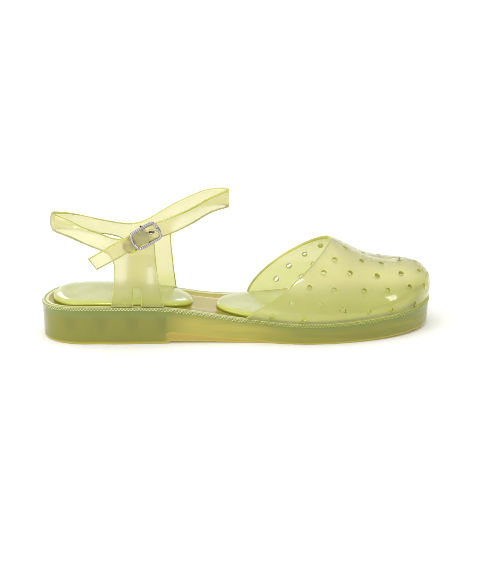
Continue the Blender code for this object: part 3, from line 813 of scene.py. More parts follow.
@dataclass(frozen=True)
class SoleJelly(WaxyPVC):
    """Thick olive PVC of the sole, cloudy, with the darker cells of its core showing through.

    It reads how far up the skin a point lies: 0 to 1 on the side, 1 to 2 on the lip, 2 to 3 from
    the rim to the footbed; and how far it stands out on the knurls.
    """

    slot: Slot = Slot.SOLE
    olive: str = "#8A8933"
    green: str = "#7F8E42"
    cell: str = "#818130"
    waist: str = "#B4AA4A"
    streak: str = "#9C983C"
    # painted light: a bright line along the foot of the side that lifts the contact shade, also used for the
    # light line above the painted bounce
    painted_light_line: str = "#C2B246"
    # painted light: the tan of the floor's bounce on the lower side of the lifted waist
    painted_bounce: str = "#B8A04B"
    # painted shade in the pits between the knurls, and painted light on their tops, dimmer in front
    painted_pit_shade: str = "#7B8230"
    knob: str = "#DADCA2"
    painted_front_knob_light: str = "#BFC15E"
    painted_front_knob_from: Pair = (-0.004, 0.012)
    rim: str = "#B4B870"
    # painted shade down in the rim's grooved ring
    painted_groove_shade: str = "#868B3C"
    # painted sheen: the flange is paler where its glossy band shines whitish
    flange: str = "#D2D0A0"
    bed: str = "#B0A23E"
    green_from: Pair = (0.68, 1.0)
    heel_end: Pair = (-0.0478, -0.0500)
    waist_start: Pair = (-0.056, -0.030)
    waist_end: Pair = (0.040, -0.004)
    cell_at: float = -0.0906
    cell_pitch: float = 0.0196
    cell_half_width: Pair = (-0.001, 0.0062)    # at the foot and at the top
    cell_soft: float = 0.003
    # where the painted floor bounce reaches up the side, and its painted light line along the top
    painted_bounce_top: Pair = (0.30, 0.10)
    painted_bounce_end: Pair = (0.030, 0.008)
    painted_bounce_soft: float = 0.02
    painted_bounce_share: float = 0.8
    painted_bounce_line: Pair = (0.05, 0.01)
    painted_bounce_line_share: float = 0.6
    # how far up the side the painted light along the foot reaches, and how strong it is
    painted_low_light_top: Pair = (0.10, 0.04)
    painted_low_light_share: float = 0.8
    cell_foot: Pair = (0.15, 0.55)
    cell_top: Pair = (1.0, 0.75)
    streak_stretch: Triple = (0.1, 0.4, 1.5)
    streak_scale: float = 160.0
    streak_from: Pair = (0.48, 0.68)
    streak_share: float = 0.6
    green_share: float = 0.8
    waist_green_loss: float = 0.4
    lip_from: Pair = (1.0, 1.06)
    top_from: Pair = (1.96, 2.1)
    groove_at: float = 2.5
    groove_width: Pair = (0.1, 0.03)
    painted_sheen_from: Pair = (2.55, 2.75)
    bed_from: Pair = (2.86, 3.0)
    clear: Colour = (0.97, 0.95, 0.84, 1.0)
    clear_share: float = 0.85    # of the lamps' light, that each skin lets through

    def cells(self, tree: Tree, along: object, rise: object) -> Socket:
        """The mask of the core's cells: tapered, and wider at the top.

        Args:
            tree: The material's tree.
            along: The place along the shoe.
            rise: How far up the skin.

        Returns:
            1 on a cell and 0 between them.
        """
        low, high = self.cell_half_width
        middle = tree.math("PINGPONG", tree.math("SUBTRACT", along, self.cell_at), self.cell_pitch / 2)
        wide = tree.math("ADD", tree.math("MULTIPLY", rise, high - low), low)
        inside = tree.ramp(tree.math("SUBTRACT", middle, wide), self.cell_soft, -self.cell_soft)
        return tree.times(inside, tree.ramp(rise, *self.cell_foot), tree.ramp(rise, *self.cell_top),
                          tree.ramp(along, *self.heel_end))

    def side(self, tree: Tree, along: object, rise: object) -> Socket:
        """The colour of the side wall: cells at the heel, a bright waist, streaks in front, painted floor
        bounce low on the waist and a painted light line along the foot.

        Args:
            tree: The material's tree.
            along: The place along the shoe.
            rise: How far up the skin.

        Returns:
            The colour.
        """
        waist = tree.times(tree.ramp(along, *self.waist_start), tree.ramp(along, *self.waist_end))
        streaks = tree.noise(tree.stretched(self.streak_stretch), self.streak_scale)
        front = tree.ramp(along, *reversed(self.heel_end))
        loss = tree.math("MULTIPLY", waist, self.waist_green_loss)
        lip_green = tree.math("SUBTRACT", self.green_share, loss)
        # Painted floor bounce: low on the waist, which faces the floor, the side turns tan, with a painted
        # light line along the band's top.
        reach = tree.span(along, (self.heel_end[0], self.painted_bounce_end[1]), self.painted_bounce_top)
        over = tree.math("SUBTRACT", rise, reach)
        painted_bounce_zone = tree.times(front, tree.ramp(along, *self.painted_bounce_end))
        line = tree.ramp(tree.math("ABSOLUTE", over), *self.painted_bounce_line)
        return tree.layers(
            self.olive, (waist, self.waist),
            (tree.times(tree.ramp(streaks, *self.streak_from), front, self.streak_share), self.streak),
            (self.cells(tree, along, rise), self.cell),
            (tree.times(tree.ramp(rise, *self.green_from), lip_green), self.green),
            # painted floor bounce and its painted light line
            (tree.times(tree.ramp(over, self.painted_bounce_soft, -self.painted_bounce_soft), painted_bounce_zone, self.painted_bounce_share), self.painted_bounce),
            (tree.times(line, painted_bounce_zone, self.painted_bounce_line_share), self.painted_light_line),
            # painted light along the foot, against the contact shade
            (tree.times(tree.ramp(rise, *self.painted_low_light_top), self.painted_low_light_share), self.painted_light_line))

    def top(self, tree: Tree, rise: object) -> Socket:
        """The colour of the rim, the painted shade in its grooved ring, the flange with its painted sheen,
        and the footbed.

        Args:
            tree: The material's tree.
            rise: How far up the skin.

        Returns:
            The colour.
        """
        off = tree.math("ABSOLUTE", tree.math("SUBTRACT", rise, self.groove_at))
        return tree.layers(self.rim, (tree.ramp(rise, *self.painted_sheen_from), self.flange),
                           (tree.ramp(off, *self.groove_width), self.painted_groove_shade),
                           (tree.ramp(rise, *self.bed_from), self.bed))

    def fill(self, tree: Tree) -> None:
        """Adds a waxy body with patches and streaks under a gloss coat.

        Args:
            tree: The material's tree.
        """
        skin = MouldedSkin().place(tree)
        rise, along = tree.attribute("rise"), tree.place("X")
        # The knurls' colour paints light on their tops, dimmer in front, and shade in the pits between them.
        knob = tree.mix(tree.ramp(along, *self.painted_front_knob_from), self.knob, self.painted_front_knob_light)
        lip = tree.mix(tree.attribute("knurl"), self.painted_pit_shade, knob)
        colour = tree.layers(self.side(tree, along, rise), (tree.ramp(rise, *self.lip_from), lip),
                             (tree.ramp(rise, *self.top_from), self.top(tree, rise)))
        passing = tree.times(tree.add("LightPath").outputs["Is Shadow Ray"], self.clear_share)
        surface = tree.let_through(self.shell(tree, colour, skin), passing, self.clear)
        tree.add("OutputMaterial", {"Surface": surface})


@dataclass(frozen=True)
class PadJelly(WaxyPVC):
    """Pale glossy lime PVC of the cushion pads, with painted shade darkening their feet where they meet the
    footbed.
    """

    slot: Slot = Slot.PAD
    pale: str = "#CACD8F"
    deep: str = "#B9BD74"
    edge: str = "#C0C658"
    # painted shade round the pad's foot, where it meets the footbed
    foot: str = "#969B30"
    edge_from: Pair = (0.96, 0.72)
    painted_foot_shade_from: Pair = (0.42, 0.2)
    roughness: float = 0.2
    glow: float = 0.4
    glow_radius: Triple = (0.003, 0.003, 0.0012)
    coat: float = 0.5
    coat_roughness: float = 0.04

    def fill(self, tree: Tree) -> None:
        """Adds a soft body under a clear gloss.

        Args:
            tree: The material's tree.
        """
        skin = MouldedSkin().place(tree)
        rise = tree.attribute("rise")
        colour = tree.layers(self.pale, (skin.outputs["Cloud"], self.deep),
                             (tree.ramp(rise, *self.edge_from), self.edge),
                             # painted shade at the foot
                             (tree.ramp(rise, *self.painted_foot_shade_from), self.foot))
        tree.add("OutputMaterial", {"Surface": self.shell(tree, colour, skin)})


@dataclass(frozen=True)
class GrainedTab(Finish):
    """Mottled olive grained PVC of the buckle's tab."""

    slot: Slot = Slot.TAB
    light: str = "#E6DB66"
    dark: str = "#9A9222"
    roughness: float = 0.4
    grain_scale: float = 450.0
    grain: float = 0.4
    grain_from: Pair = (0.38, 0.62)
    grain_depth: float = 0.2
    clarity: float = 0.1

    def fill(self, tree: Tree) -> None:
        """Adds a pebbled, satin skin.

        Args:
            tree: The material's tree.
        """
        grain = tree.noise(tree.stretched((1.0, 1.0, 1.0)), self.grain_scale)
        mask = tree.ramp(grain, *self.grain_from)
        colour = tree.mix(mask, self.dark, self.light)
        shell = tree.add("BsdfPrincipled", {
            "Base Color": colour, "Roughness": self.roughness, "Transmission Weight": self.clarity,
            "Normal": tree.bump(mask, self.grain, self.grain_depth * MM)})
        tree.add("OutputMaterial", {"Surface": shell.outputs[0]})


@dataclass(frozen=True)
class Nickel(Finish):
    """Polished nickel plate with faint polishing marks."""

    slot: Slot = Slot.BUCKLE
    plate: str = "#B6B2BA"
    edge: str = "#1C1822"        # near-black edge tint: painted dark reflections towards the wire's sides
    roughness: Pair = (0.06, 0.18)
    mark_scale: float = 700.0
    mark_stretch: Triple = (1.0, 1.0, 4.0)

    def fill(self, tree: Tree) -> None:
        """Adds a mirror metal whose gloss varies a little.

        Args:
            tree: The material's tree.
        """
        marks = tree.noise(tree.stretched(self.mark_stretch), self.mark_scale)
        # The near-black edge tint paints dark reflections towards the wire's sides.
        shell = tree.add("BsdfPrincipled", {
            "Base Color": self.plate, "Specular Tint": self.edge, "Metallic": 1.0,
            "Roughness": tree.span(marks, (0.0, 1.0), self.roughness)})
        tree.add("OutputMaterial", {"Surface": shell.outputs[0]})


# The last

@dataclass(frozen=True)
class Last:
    """The form that the whole shoe follows: its outline from above and its heights."""

    length: float = 254.0
    heel_round: float = 32.0
    toe_round_start: BySide = BySide(48.0, 56.0)
    toe_round_power: BySide = BySide(2.2, 2.0)
    heel_round_power: BySide = BySide(2.2, 1.9)
    heel_tip_y: float = -5.0
    toe_tip_y: float = -2.0
    outline: Rows = (    # x, outer and inner half width of the rim
        (-95.0, 33.7, 26.6), (-78.0, 36.0, 24.6), (-60.0, 37.0, 21.2), (-37.0, 38.6, 16.5),
        (-22.0, 39.8, 15.9), (-5.0, 41.2, 19.3), (10.0, 43.0, 23.8), (24.0, 46.8, 29.0),
        (40.0, 50.4, 34.5), (50.0, 51.0, 37.0), (62.0, 51.0, 38.8))
    rim_heights: Rows = (    # x, height of the rim: heel, waist, ball, toe spring
        (-127.0, 23.2), (-112.0, 24.7), (-95.0, 25.0), (-60.0, 24.5), (-46.0, 23.5),
        (-34.0, 21.9), (-20.0, 19.5), (-2.0, 16.6), (12.0, 15.2), (28.0, 14.1),
        (48.0, 13.8), (70.0, 14.3), (95.0, 15.7), (112.0, 17.2), (127.0, 19.0))
    heel_breast_x: float = -47.5
    heel_step_run: float = 2.0
    waist_lift: float = 1.5
    waist_end_x: float = -40.0
    ball_x: float = 14.0
    spring_x: float = 58.0
    toe_spring: float = 2.6
    spring_power: float = 1.8
    footbed_drop: float = 0.8
    station_steps: int = 12      # finer lengths that each even one is found from
    slope_step: float = 0.01

    @property
    def heel_x(self) -> float:
        """X of the heel's back."""
        return -self.length / 2

    @property
    def toe_x(self) -> float:
        """X of the toe's tip."""
        return self.length / 2

    @cached_property
    def widths(self) -> dict[Side, SmoothCurve]:
        """The outline's two curves."""
        return {Side.OUTER: curve_of(self.outline, 1), Side.INNER: curve_of(self.outline, 2)}

    @cached_property
    def rim(self) -> SmoothCurve:
        """The rim's height along the shoe."""
        return curve_of(self.rim_heights)

    @cached_property
    def shift_y(self) -> float:
        """From the shoe's frame to the part's, which is centred on the widest rim."""
        widest = [max(self.half_width(x, side) for x in range(100)) for side in Side]
        return (widest[0] - widest[1]) / 2

    def half_width(self, x: float, side: Side) -> float:
        """Half width of the rim.

        Args:
            x: Place along the shoe.
            side: Which half.

        Returns:
            The distance from the shoe's axis.
        """
        tip = side.value * (self.heel_tip_y if x < 0 else self.toe_tip_y)
        width = self.widths[side].at(x) - tip
        heel_share = (self.heel_x + self.heel_round - x) / self.heel_round
        start = self.toe_round_start.of(side)
        toe_share = (x - start) / (self.toe_x - start)
        width *= round_off(heel_share, self.heel_round_power.of(side))
        return tip + width * round_off(toe_share, self.toe_round_power.of(side))

    def rim_z(self, x: float) -> float:
        """Height of the rim."""
        return self.rim.at(x)

    def footbed_z(self, x: float) -> float:
        """Height of the recessed footbed."""
        return self.rim.at(x) - self.footbed_drop

    def tread_z(self, x: float) -> float:
        """Height of the tread: flat heel, raised waist, flat ball, toe spring.

        Args:
            x: Place along the shoe.

        Returns:
            The height above the floor.
        """
        if x <= self.ball_x:
            step = ease((x - self.heel_breast_x) / self.heel_step_run + 0.5)
            fall = ease((x - self.waist_end_x) / (self.ball_x - self.waist_end_x))
            return self.waist_lift * step * (1 - fall)
        rise = max(0.0, (x - self.spring_x) / (self.toe_x - self.spring_x))
        return self.toe_spring * rise ** self.spring_power

    def middle_y(self, x: float) -> float:
        """Y of the middle between the two rims."""
        return (self.half_width(x, Side.INNER) - self.half_width(x, Side.OUTER)) / 2

    def inset_point(self, x: float, side: Side, inset: float) -> Vector:
        """A point of the rim's outline, moved in along the outline's normal.

        Args:
            x: Place along the shoe.
            side: Which half.
            inset: How far it is moved in.

        Returns:
            The point, seen from above.
        """
        step = self.slope_step
        rise = side.value * (self.half_width(x + step, side) - self.half_width(x - step, side))
        if min(x - self.heel_x, self.toe_x - x) < step:
            out = Vector((math.copysign(1.0, x), 0.0))
        else:
            out = Vector((-rise, 2 * step)).normalized() * side.value
        return Vector((x, side.value * self.half_width(x, side))) - out * inset

    def even_stations(self, count: int) -> list[float]:
        """X values from heel to toe that cut both sides of the outline into near equal lengths.

        Args:
            count: How many lengths.

        Returns:
            The count + 1 values.
        """
        fine = self.station_steps * count
        places = [-math.cos(math.pi * k / fine) * self.length / 2 for k in range(fine + 1)]
        walked = [0.0]
        lines = [[Vector((x, self.half_width(x, side))) for x in places] for side in Side]
        for k in range(fine):
            walked.append(walked[-1] + sum((line[k + 1] - line[k]).length for line in lines))
        made = []
        for k in range(count + 1):
            i = min(fine - 1, max(0, bisect_right(walked, walked[-1] * k / count) - 1))
            part = (walked[-1] * k / count - walked[i]) / (walked[i + 1] - walked[i])
            made.append(-math.cos(math.pi * (i + part) / fine) * self.length / 2)
        return made


# Sole

@dataclass(frozen=True)
class Ring:
    """One ring of the sole's skin."""

    rise: float                          # how far up the skin it lies, for the finish
    inset: Callable[[int], float]        # from the outline, at a column
    height: Callable[[float], float]     # at x
    up: float | None = None              # share of the lip's face, on the lip


@dataclass(frozen=True)
class Sole:
    """The moulded sole: tread, side wall, knurled lip, grooved rim and recessed footbed."""

    last: Last
    finish: Finish
    columns: int = 900           # on each side
    crown_inset: float = 0.33    # the knurls' tops lie this far inside the outline
    side_taper: float = 1.9
    tread_edge: float = 0.9
    edge_steps: int = 4
    side_steps: int = 6
    lip: float = 2.1
    lip_step: float = 0.25
    rim_edge: float = 0.45
    knurl_depth: float = 0.4
    knurl_rows: int = 2
    knurl_steps: int = 6         # levels to each row of knurls
    columns_per_knurl: int = 6
    groove_inset: float = 2.5
    groove_half_width: float = 0.4
    groove_depth: float = 0.35
    flange: float = 4.4
    footbed_edge: float = 0.8
    heel_cap: float = 34.0
    toe_cap: float = 48.0
    edge_rise: float = 0.04      # rises that the finish reads, up the skin
    lip_rises: Pair = (1.06, 1.96)
    rim_rise: float = 2.0
    groove_rise: float = 2.5
    rise_step: float = 0.1
    bed_rises: Pair = (2.8, 3.0)
    round_steps: int = 3         # rings of the rim's edge and of the footbed's
    groove_shares: tuple[float, ...] = (-1.0, -0.5, 0.0, 0.5, 1.0)

    @property
    def pit_inset(self) -> float:
        """How far the ground between the knurls lies inside the outline."""
        return self.crown_inset + self.knurl_depth

    def knob(self, column: int, up: float) -> float:
        """How far the lip's face stands out on its knurls.

        Args:
            column: The column of the mesh.
            up: Share of the lip's face from its foot to its top.

        Returns:
            0 between the knurls, 1 on their tops.
        """
        row = min(self.knurl_rows - 1, int(up * self.knurl_rows))
        phase = column / self.columns_per_knurl + row / self.knurl_rows
        return math.sin(math.pi * (up * self.knurl_rows - row)) * (1 + math.cos(2 * math.pi * phase)) / 2

    def levels(self) -> list[Ring]:
        """The sole's rings from the tread's edge over the lip to the footbed.

        Returns:
            The rings, from the lowest up.
        """
        last = self.last
        made = []

        def add(rise: float, inset: float, height: Callable[[float], float]) -> None:
            """Adds a ring of one inset."""
            made.append(Ring(rise, lambda column: inset, height))

        for k, turn in enumerate(quarter_turn(self.edge_steps)):
            add(self.edge_rise * k / self.edge_steps,
                self.side_taper + self.tread_edge * (1 - math.sin(turn)),
                lambda x, rise=self.tread_edge * (1 - math.cos(turn)): last.tread_z(x) + rise)
        foot = self.lip + self.lip_step
        side_top = self.pit_inset + self.lip_step
        for k in range(1, self.side_steps + 1):
            add(self.edge_rise + (1 - self.edge_rise) * k / self.side_steps,
                self.side_taper + (side_top - self.side_taper) * k / self.side_steps,
                lambda x, t=k / self.side_steps: (last.tread_z(x) + self.tread_edge) * (1 - t)
                + (last.rim_z(x) - foot) * t)
        face = self.lip - self.rim_edge
        count = self.knurl_rows * self.knurl_steps
        low, high = self.lip_rises
        for k in range(count + 1):
            made.append(Ring(
                low + (high - low) * k / count,
                lambda column, up=k / count: self.pit_inset - self.knurl_depth * self.knob(column, up),
                lambda x, up=k / count: last.rim_z(x) - self.lip + face * up, k / count))
        for k, turn in enumerate(quarter_turn(self.round_steps)[1:], 1):
            add(self.rim_rise + self.rise_step * k, self.pit_inset + self.rim_edge * (1 - math.cos(turn)),
                lambda x, drop=self.rim_edge * (1 - math.sin(turn)): last.rim_z(x) - drop)
        for share in self.groove_shares:
            add(self.groove_rise + self.rise_step * share,
                self.groove_inset + share * self.groove_half_width,
                lambda x, drop=self.groove_depth * (1 - share * share): last.rim_z(x) - drop)
        low, high = self.bed_rises
        for k in range(self.round_steps + 1):
            share = k / self.round_steps
            add(low + (high - low) * share, self.flange + self.footbed_edge * share,
                lambda x, drop=last.footbed_drop * ease_round(share): last.rim_z(x) - drop)
        return made

    def midline(self, x: float) -> Vector:
        """The line that closes the tread and the footbed, seen from above."""
        x = min(self.last.toe_x - self.toe_cap, max(self.last.heel_x + self.heel_cap, x))
        return Vector((x, self.last.middle_y(x)))

    def build(self) -> Piece:
        """Builds and dresses the sole.

        Returns:
            The piece.
        """
        last = self.last
        ring = both_sides(last.even_stations(self.columns))
        edge = [Vector((x, side.value * last.half_width(x, side))) for x, side in ring]
        count = len(ring)
        outs = []
        for k in range(count):
            along = edge[(k + 1) % count] - edge[k - 1]
            outs.append(Vector((along.y, -along.x)).normalized())
        levels = self.levels()
        top = len(levels) + 3

        def level(j: int) -> Ring:
            """The ring of row j, or the one next to it where the form is closed."""
            return levels[min(len(levels) - 1, max(0, j - 2))]

        def place(i: int, j: int) -> Vector:
            """A corner of the grid, whose outer two rows at each end close the form.

            Args:
                i: Its column.
                j: Its row.

            Returns:
                Its place.
            """
            column = i % count
            if 2 <= j <= top - 2:
                height = level(j).height
                at = edge[column] - outs[column] * level(j).inset(column)
            else:
                height = last.tread_z if j < 2 else last.footbed_z
                at = self.midline(ring[column][0])
                if j in (1, top - 1):
                    at = (edge[column] - outs[column] * self.flange).lerp(at, 0.5)
            return Vector((at.x, at.y, height(at.x)))

        def rise(i: int, j: int) -> float:
            """How far up the skin row j lies."""
            return level(j).rise

        def knurl(i: int, j: int) -> float:
            """How far a corner stands out on the knurls."""
            up = level(j).up
            return 0.0 if up is None else self.knob(i % count, up)

        bm = close_up(mapped_grid(count, top, place, {"rise": rise, "knurl": knurl}))
        return add_piece("sole", bm, self.finish, ["sole"], last.shift_y)


# Cushion pads

@dataclass(frozen=True)
class CushionPad:
    """A pillow-topped pad that lies on the footbed inside the rim."""

    last: Last
    finish: Finish
    name: str
    ends: Pair
    rounds: Pair
    skew: float = 0.0            # how far its rear end points to one side
    inset: float = 5.7
    round_power: float = 2.2
    skew_power: float = 1.2
    cap_share: float = 0.8
    columns: int = 150           # on each side
    steps: int = 5
    section: Rows = ((0.985, -0.72), (1.0, 0.3), (0.994, 1.2), (0.965, 2.05), (0.91, 2.5),
                     (0.75, 2.9), (0.5, 3.08), (0.25, 3.14))    # share of the outline, height over the rim

    def middle(self, x: float) -> float:
        """Y of the pad's middle."""
        low = (x - self.ends[0]) / self.rounds[0]
        return self.last.middle_y(x) + self.skew * round_off(low, self.skew_power)

    def midline(self, x: float) -> Vector:
        """The line that closes the underside and the crown.

        Args:
            x: Place along the shoe.

        Returns:
            Its nearest point, seen from above.
        """
        low, high = self.ends
        x = min(high - self.cap_share * self.rounds[1], max(low + self.cap_share * self.rounds[0], x))
        return Vector((x, self.middle(x)))

    def edge(self, x: float, side: Side) -> Vector:
        """A point of the pad's outline.

        Args:
            x: Place along the shoe.
            side: Which half.

        Returns:
            The point, seen from above.
        """
        (low, high), (near, far) = self.ends, self.rounds
        reach = side.value * (self.last.half_width(x, side) - self.inset) - self.middle(x)
        reach *= round_off((low + near - x) / near, self.round_power)
        reach *= round_off((x - high + far) / far, self.round_power)
        return Vector((x, self.middle(x) + reach))

    def build(self) -> Piece:
        """Builds and dresses the pad.

        Returns:
            The piece.
        """
        low, high = self.ends
        stations = [(low + high) / 2 - (high - low) / 2 * math.cos(math.pi * k / self.columns)
                    for k in range(self.columns + 1)]
        ring = both_sides(stations)
        middles = [self.midline(x) for x, _ in ring]
        edges = [self.edge(x, side) for x, side in ring]
        profile = rounded(self.section, self.steps)
        profile = [(0.0, profile[0][1]), *profile, (0.0, profile[-1][1])]

        def place(i: int, j: int) -> Vector:
            """A corner of the grid.

            Args:
                i: Its column, round the pad.
                j: Its row, up the section.

            Returns:
                Its place.
            """
            share, rise = profile[j]
            at = middles[i % len(ring)].lerp(edges[i % len(ring)], share)
            return Vector((at.x, at.y, self.last.rim_z(at.x) + rise))

        def rise(i: int, j: int) -> float:
            """How far up the section ring j lies, from 0 to 1."""
            return (profile[j][1] - profile[0][1]) / (profile[-1][1] - profile[0][1])

        bm = close_up(mapped_grid(len(ring), len(profile) - 1, place, {"rise": rise}))
        piece = add_piece(self.name, bm, self.finish, [self.name], self.last.shift_y)
        return piece


# Toe upper

@dataclass(frozen=True)
class HoleColumn:
    """A column of perforations from the rim up to the crest."""

    start: float                 # place along, from throat (0) to toe (1), at the rim
    drift: float
    curl: float
    shares: tuple[float, ...]    # places from the rim (0) to the crest (1)

    def along(self, share: float) -> float:
        """Place along the toe of the hole at a share."""
        return min(1.0, self.start + self.drift * share + self.curl * share ** 3)


@dataclass(frozen=True)
class Vamp:
    """The closed toe: one wall, open at the throat and underneath, with round perforations."""

    last: Last
    finish: Finish
    cut: Finish
    wall: float = 2.0
    soft_edge: float = 0.5
    inset: float = 1.2
    throat_x: BySide = BySide(0.5, 8.5)
    throat_power: BySide = BySide(1.6, 1.5)
    throat_peak_x: float = 61.0
    inner_throat_reach: float = 1.08
    ridge_end_x: float = 99.0
    ridge_turn_x: float = 62.0
    ridge_turn_power: float = 2.2
    toe_bulge: float = 0.052
    crest: Rows = (    # x, height, offset to the inner side
        (0.0, 65.0, -2.0), (40.0, 59.6, -1.5), (61.0, 57.6, -1.0), (68.0, 54.8, -1.2),
        (77.0, 49.7, -1.4), (88.0, 44.4, -1.7), (99.0, 41.6, -2.0))
    section_powers: Rows = (    # x, how square the section is; 2 is an ellipse
        (0.0, 2.0), (75.0, 2.0), (105.0, 2.4), (127.0, 3.8))
    hole_radius: float = 1.7
    inner_along_shift: float = 0.025
    inner_share_shift: float = 0.07
    middle_share: float = 0.92
    middle_along: float = 0.97
    holes: tuple[HoleColumn, ...] = (
        HoleColumn(0.065, 0.050, 0.00, (0.04, 0.18, 0.33, 0.48, 0.63, 0.88)),
        HoleColumn(0.168, 0.090, 0.00, (0.04, 0.18, 0.31, 0.51, 0.76, 1.00)),
        HoleColumn(0.275, 0.165, 0.00, (0.12, 0.34, 0.57, 0.84)),
        HoleColumn(0.395, 0.150, 0.42, (0.10, 0.35, 0.60, 0.93)),
        HoleColumn(0.520, 0.220, 1.20, (0.06, 0.32, 0.52, 0.66)),
        HoleColumn(0.690, 0.150, 9.00, (0.03, 0.19, 0.28)))
    steps_along: int = 170
    steps_up: int = 92           # on each side
    cell: float = 0.8

    @property
    def tip_x(self) -> float:
        """X of the toe upper's front."""
        return self.last.toe_x - self.inset

    def throat(self, share: float, side: Side) -> float:
        """X of the throat's edge.

        Args:
            share: The way up from the rim to the crest.
            side: Which half.

        Returns:
            Its x.
        """
        power = self.throat_power.of(side)
        if side is Side.OUTER:
            run = 1 - (1 - share) ** power
        else:
            run = math.sin(math.pi / 2 * min(1.0, self.inner_throat_reach * share)) ** power
        start = self.throat_x.of(side)
        return start + (self.throat_peak_x - start) * run

    def point(self, along: float, share: float, side: Side) -> Vector:
        """A point of the outer face.

        Args:
            along: The way from the throat (0) to the toe's tip (1).
            share: The way from the rim (0) to the crest (1).
            side: Which half.

        Returns:
            The point.
        """
        last = self.last
        start = self.throat(share, side)
        x = start + (self.tip_x - start) * math.sin(math.pi / 2 * along)
        turn = max(0.0, (x - self.ridge_turn_x) / (self.tip_x - self.ridge_turn_x))
        crest_x = x - (self.tip_x - self.ridge_end_x) * turn ** self.ridge_turn_power
        outline_x = last.heel_x + (x - last.heel_x) * last.length / (self.tip_x - last.heel_x)
        base = last.inset_point(outline_x, side, self.inset)
        base_z = last.rim_z(x) + FOOT_GAP
        power = curve_of(self.section_powers).at(x)
        inward = 1 - max(0.0, math.cos(math.pi / 2 * share)) ** (2 / power)
        upward = math.sin(math.pi / 2 * share) ** (2 / power)
        inward -= self.toe_bulge * turn * math.sin(math.pi * upward)
        return Vector((
            base.x + (crest_x - base.x) * inward,
            base.y + (curve_of(self.crest, 2).at(crest_x) - base.y) * inward,
            base_z + (curve_of(self.crest, 1).at(crest_x) - base_z) * upward))

    def normal(self, along: float, share: float, side: Side) -> Vector:
        """Outward normal of the outer face.

        Args:
            along: The way from the throat to the toe's tip.
            share: The way from the rim to the crest.
            side: Which half.

        Returns:
            The unit normal.
        """
        step = self.last.slope_step
        low, high = max(0.0, along - step), min(1.0, along + step)
        down, up = max(0.0, share - step), min(1.0, share + step)
        forward = self.point(high, share, side) - self.point(low, share, side)
        upward = self.point(along, up, side) - self.point(along, down, side)
        return forward.cross(upward).normalized() * -side.value

    def hole_places(self) -> Iterator[tuple[Vector, Vector]]:
        """Places the perforations.

        Yields:
            The middle and the direction of each.
        """
        for column in self.holes:
            for share in column.shares:
                along = column.along(share)
                spots = [(along, share, Side.OUTER)]
                if share < self.middle_share and along < self.middle_along:
                    spots.append((along + self.inner_along_shift * (1 - along),
                                  share + self.inner_share_shift * (1 - share), Side.INNER))
                for spot in spots:
                    yield self.point(*spot), self.normal(*spot)

    def build(self) -> Piece:
        """Builds and dresses the toe upper.

        Returns:
            The piece.
        """
        half = self.steps_up

        def place(i: int, j: int) -> Vector:
            """The corner of column i on row j, from the outer rim over the crest to the inner one."""
            side = Side.OUTER if j <= half else Side.INNER
            return self.point(i / self.steps_along, 1 - abs(j - half) / half, side)

        bm = mapped_grid(self.steps_along, 2 * half, place)
        bmesh.ops.remove_doubles(bm, verts=bm.verts, dist=WELD)
        face_away(bm, Vector((self.throat_peak_x, 0.0, self.last.rim_z(self.throat_peak_x))))
        holes = list(self.hole_places())
        open_holes(bm, holes, self.hole_radius, self.cell)
        mark_free_edges(bm, self.last, [middle for middle, _ in holes], self.hole_radius)
        piece = add_piece("vamp", bm, self.finish, ["vamp"], self.last.shift_y)
        give_wall(piece, self.wall, self.soft_edge, self.cut)
        return piece


# Ankle strap

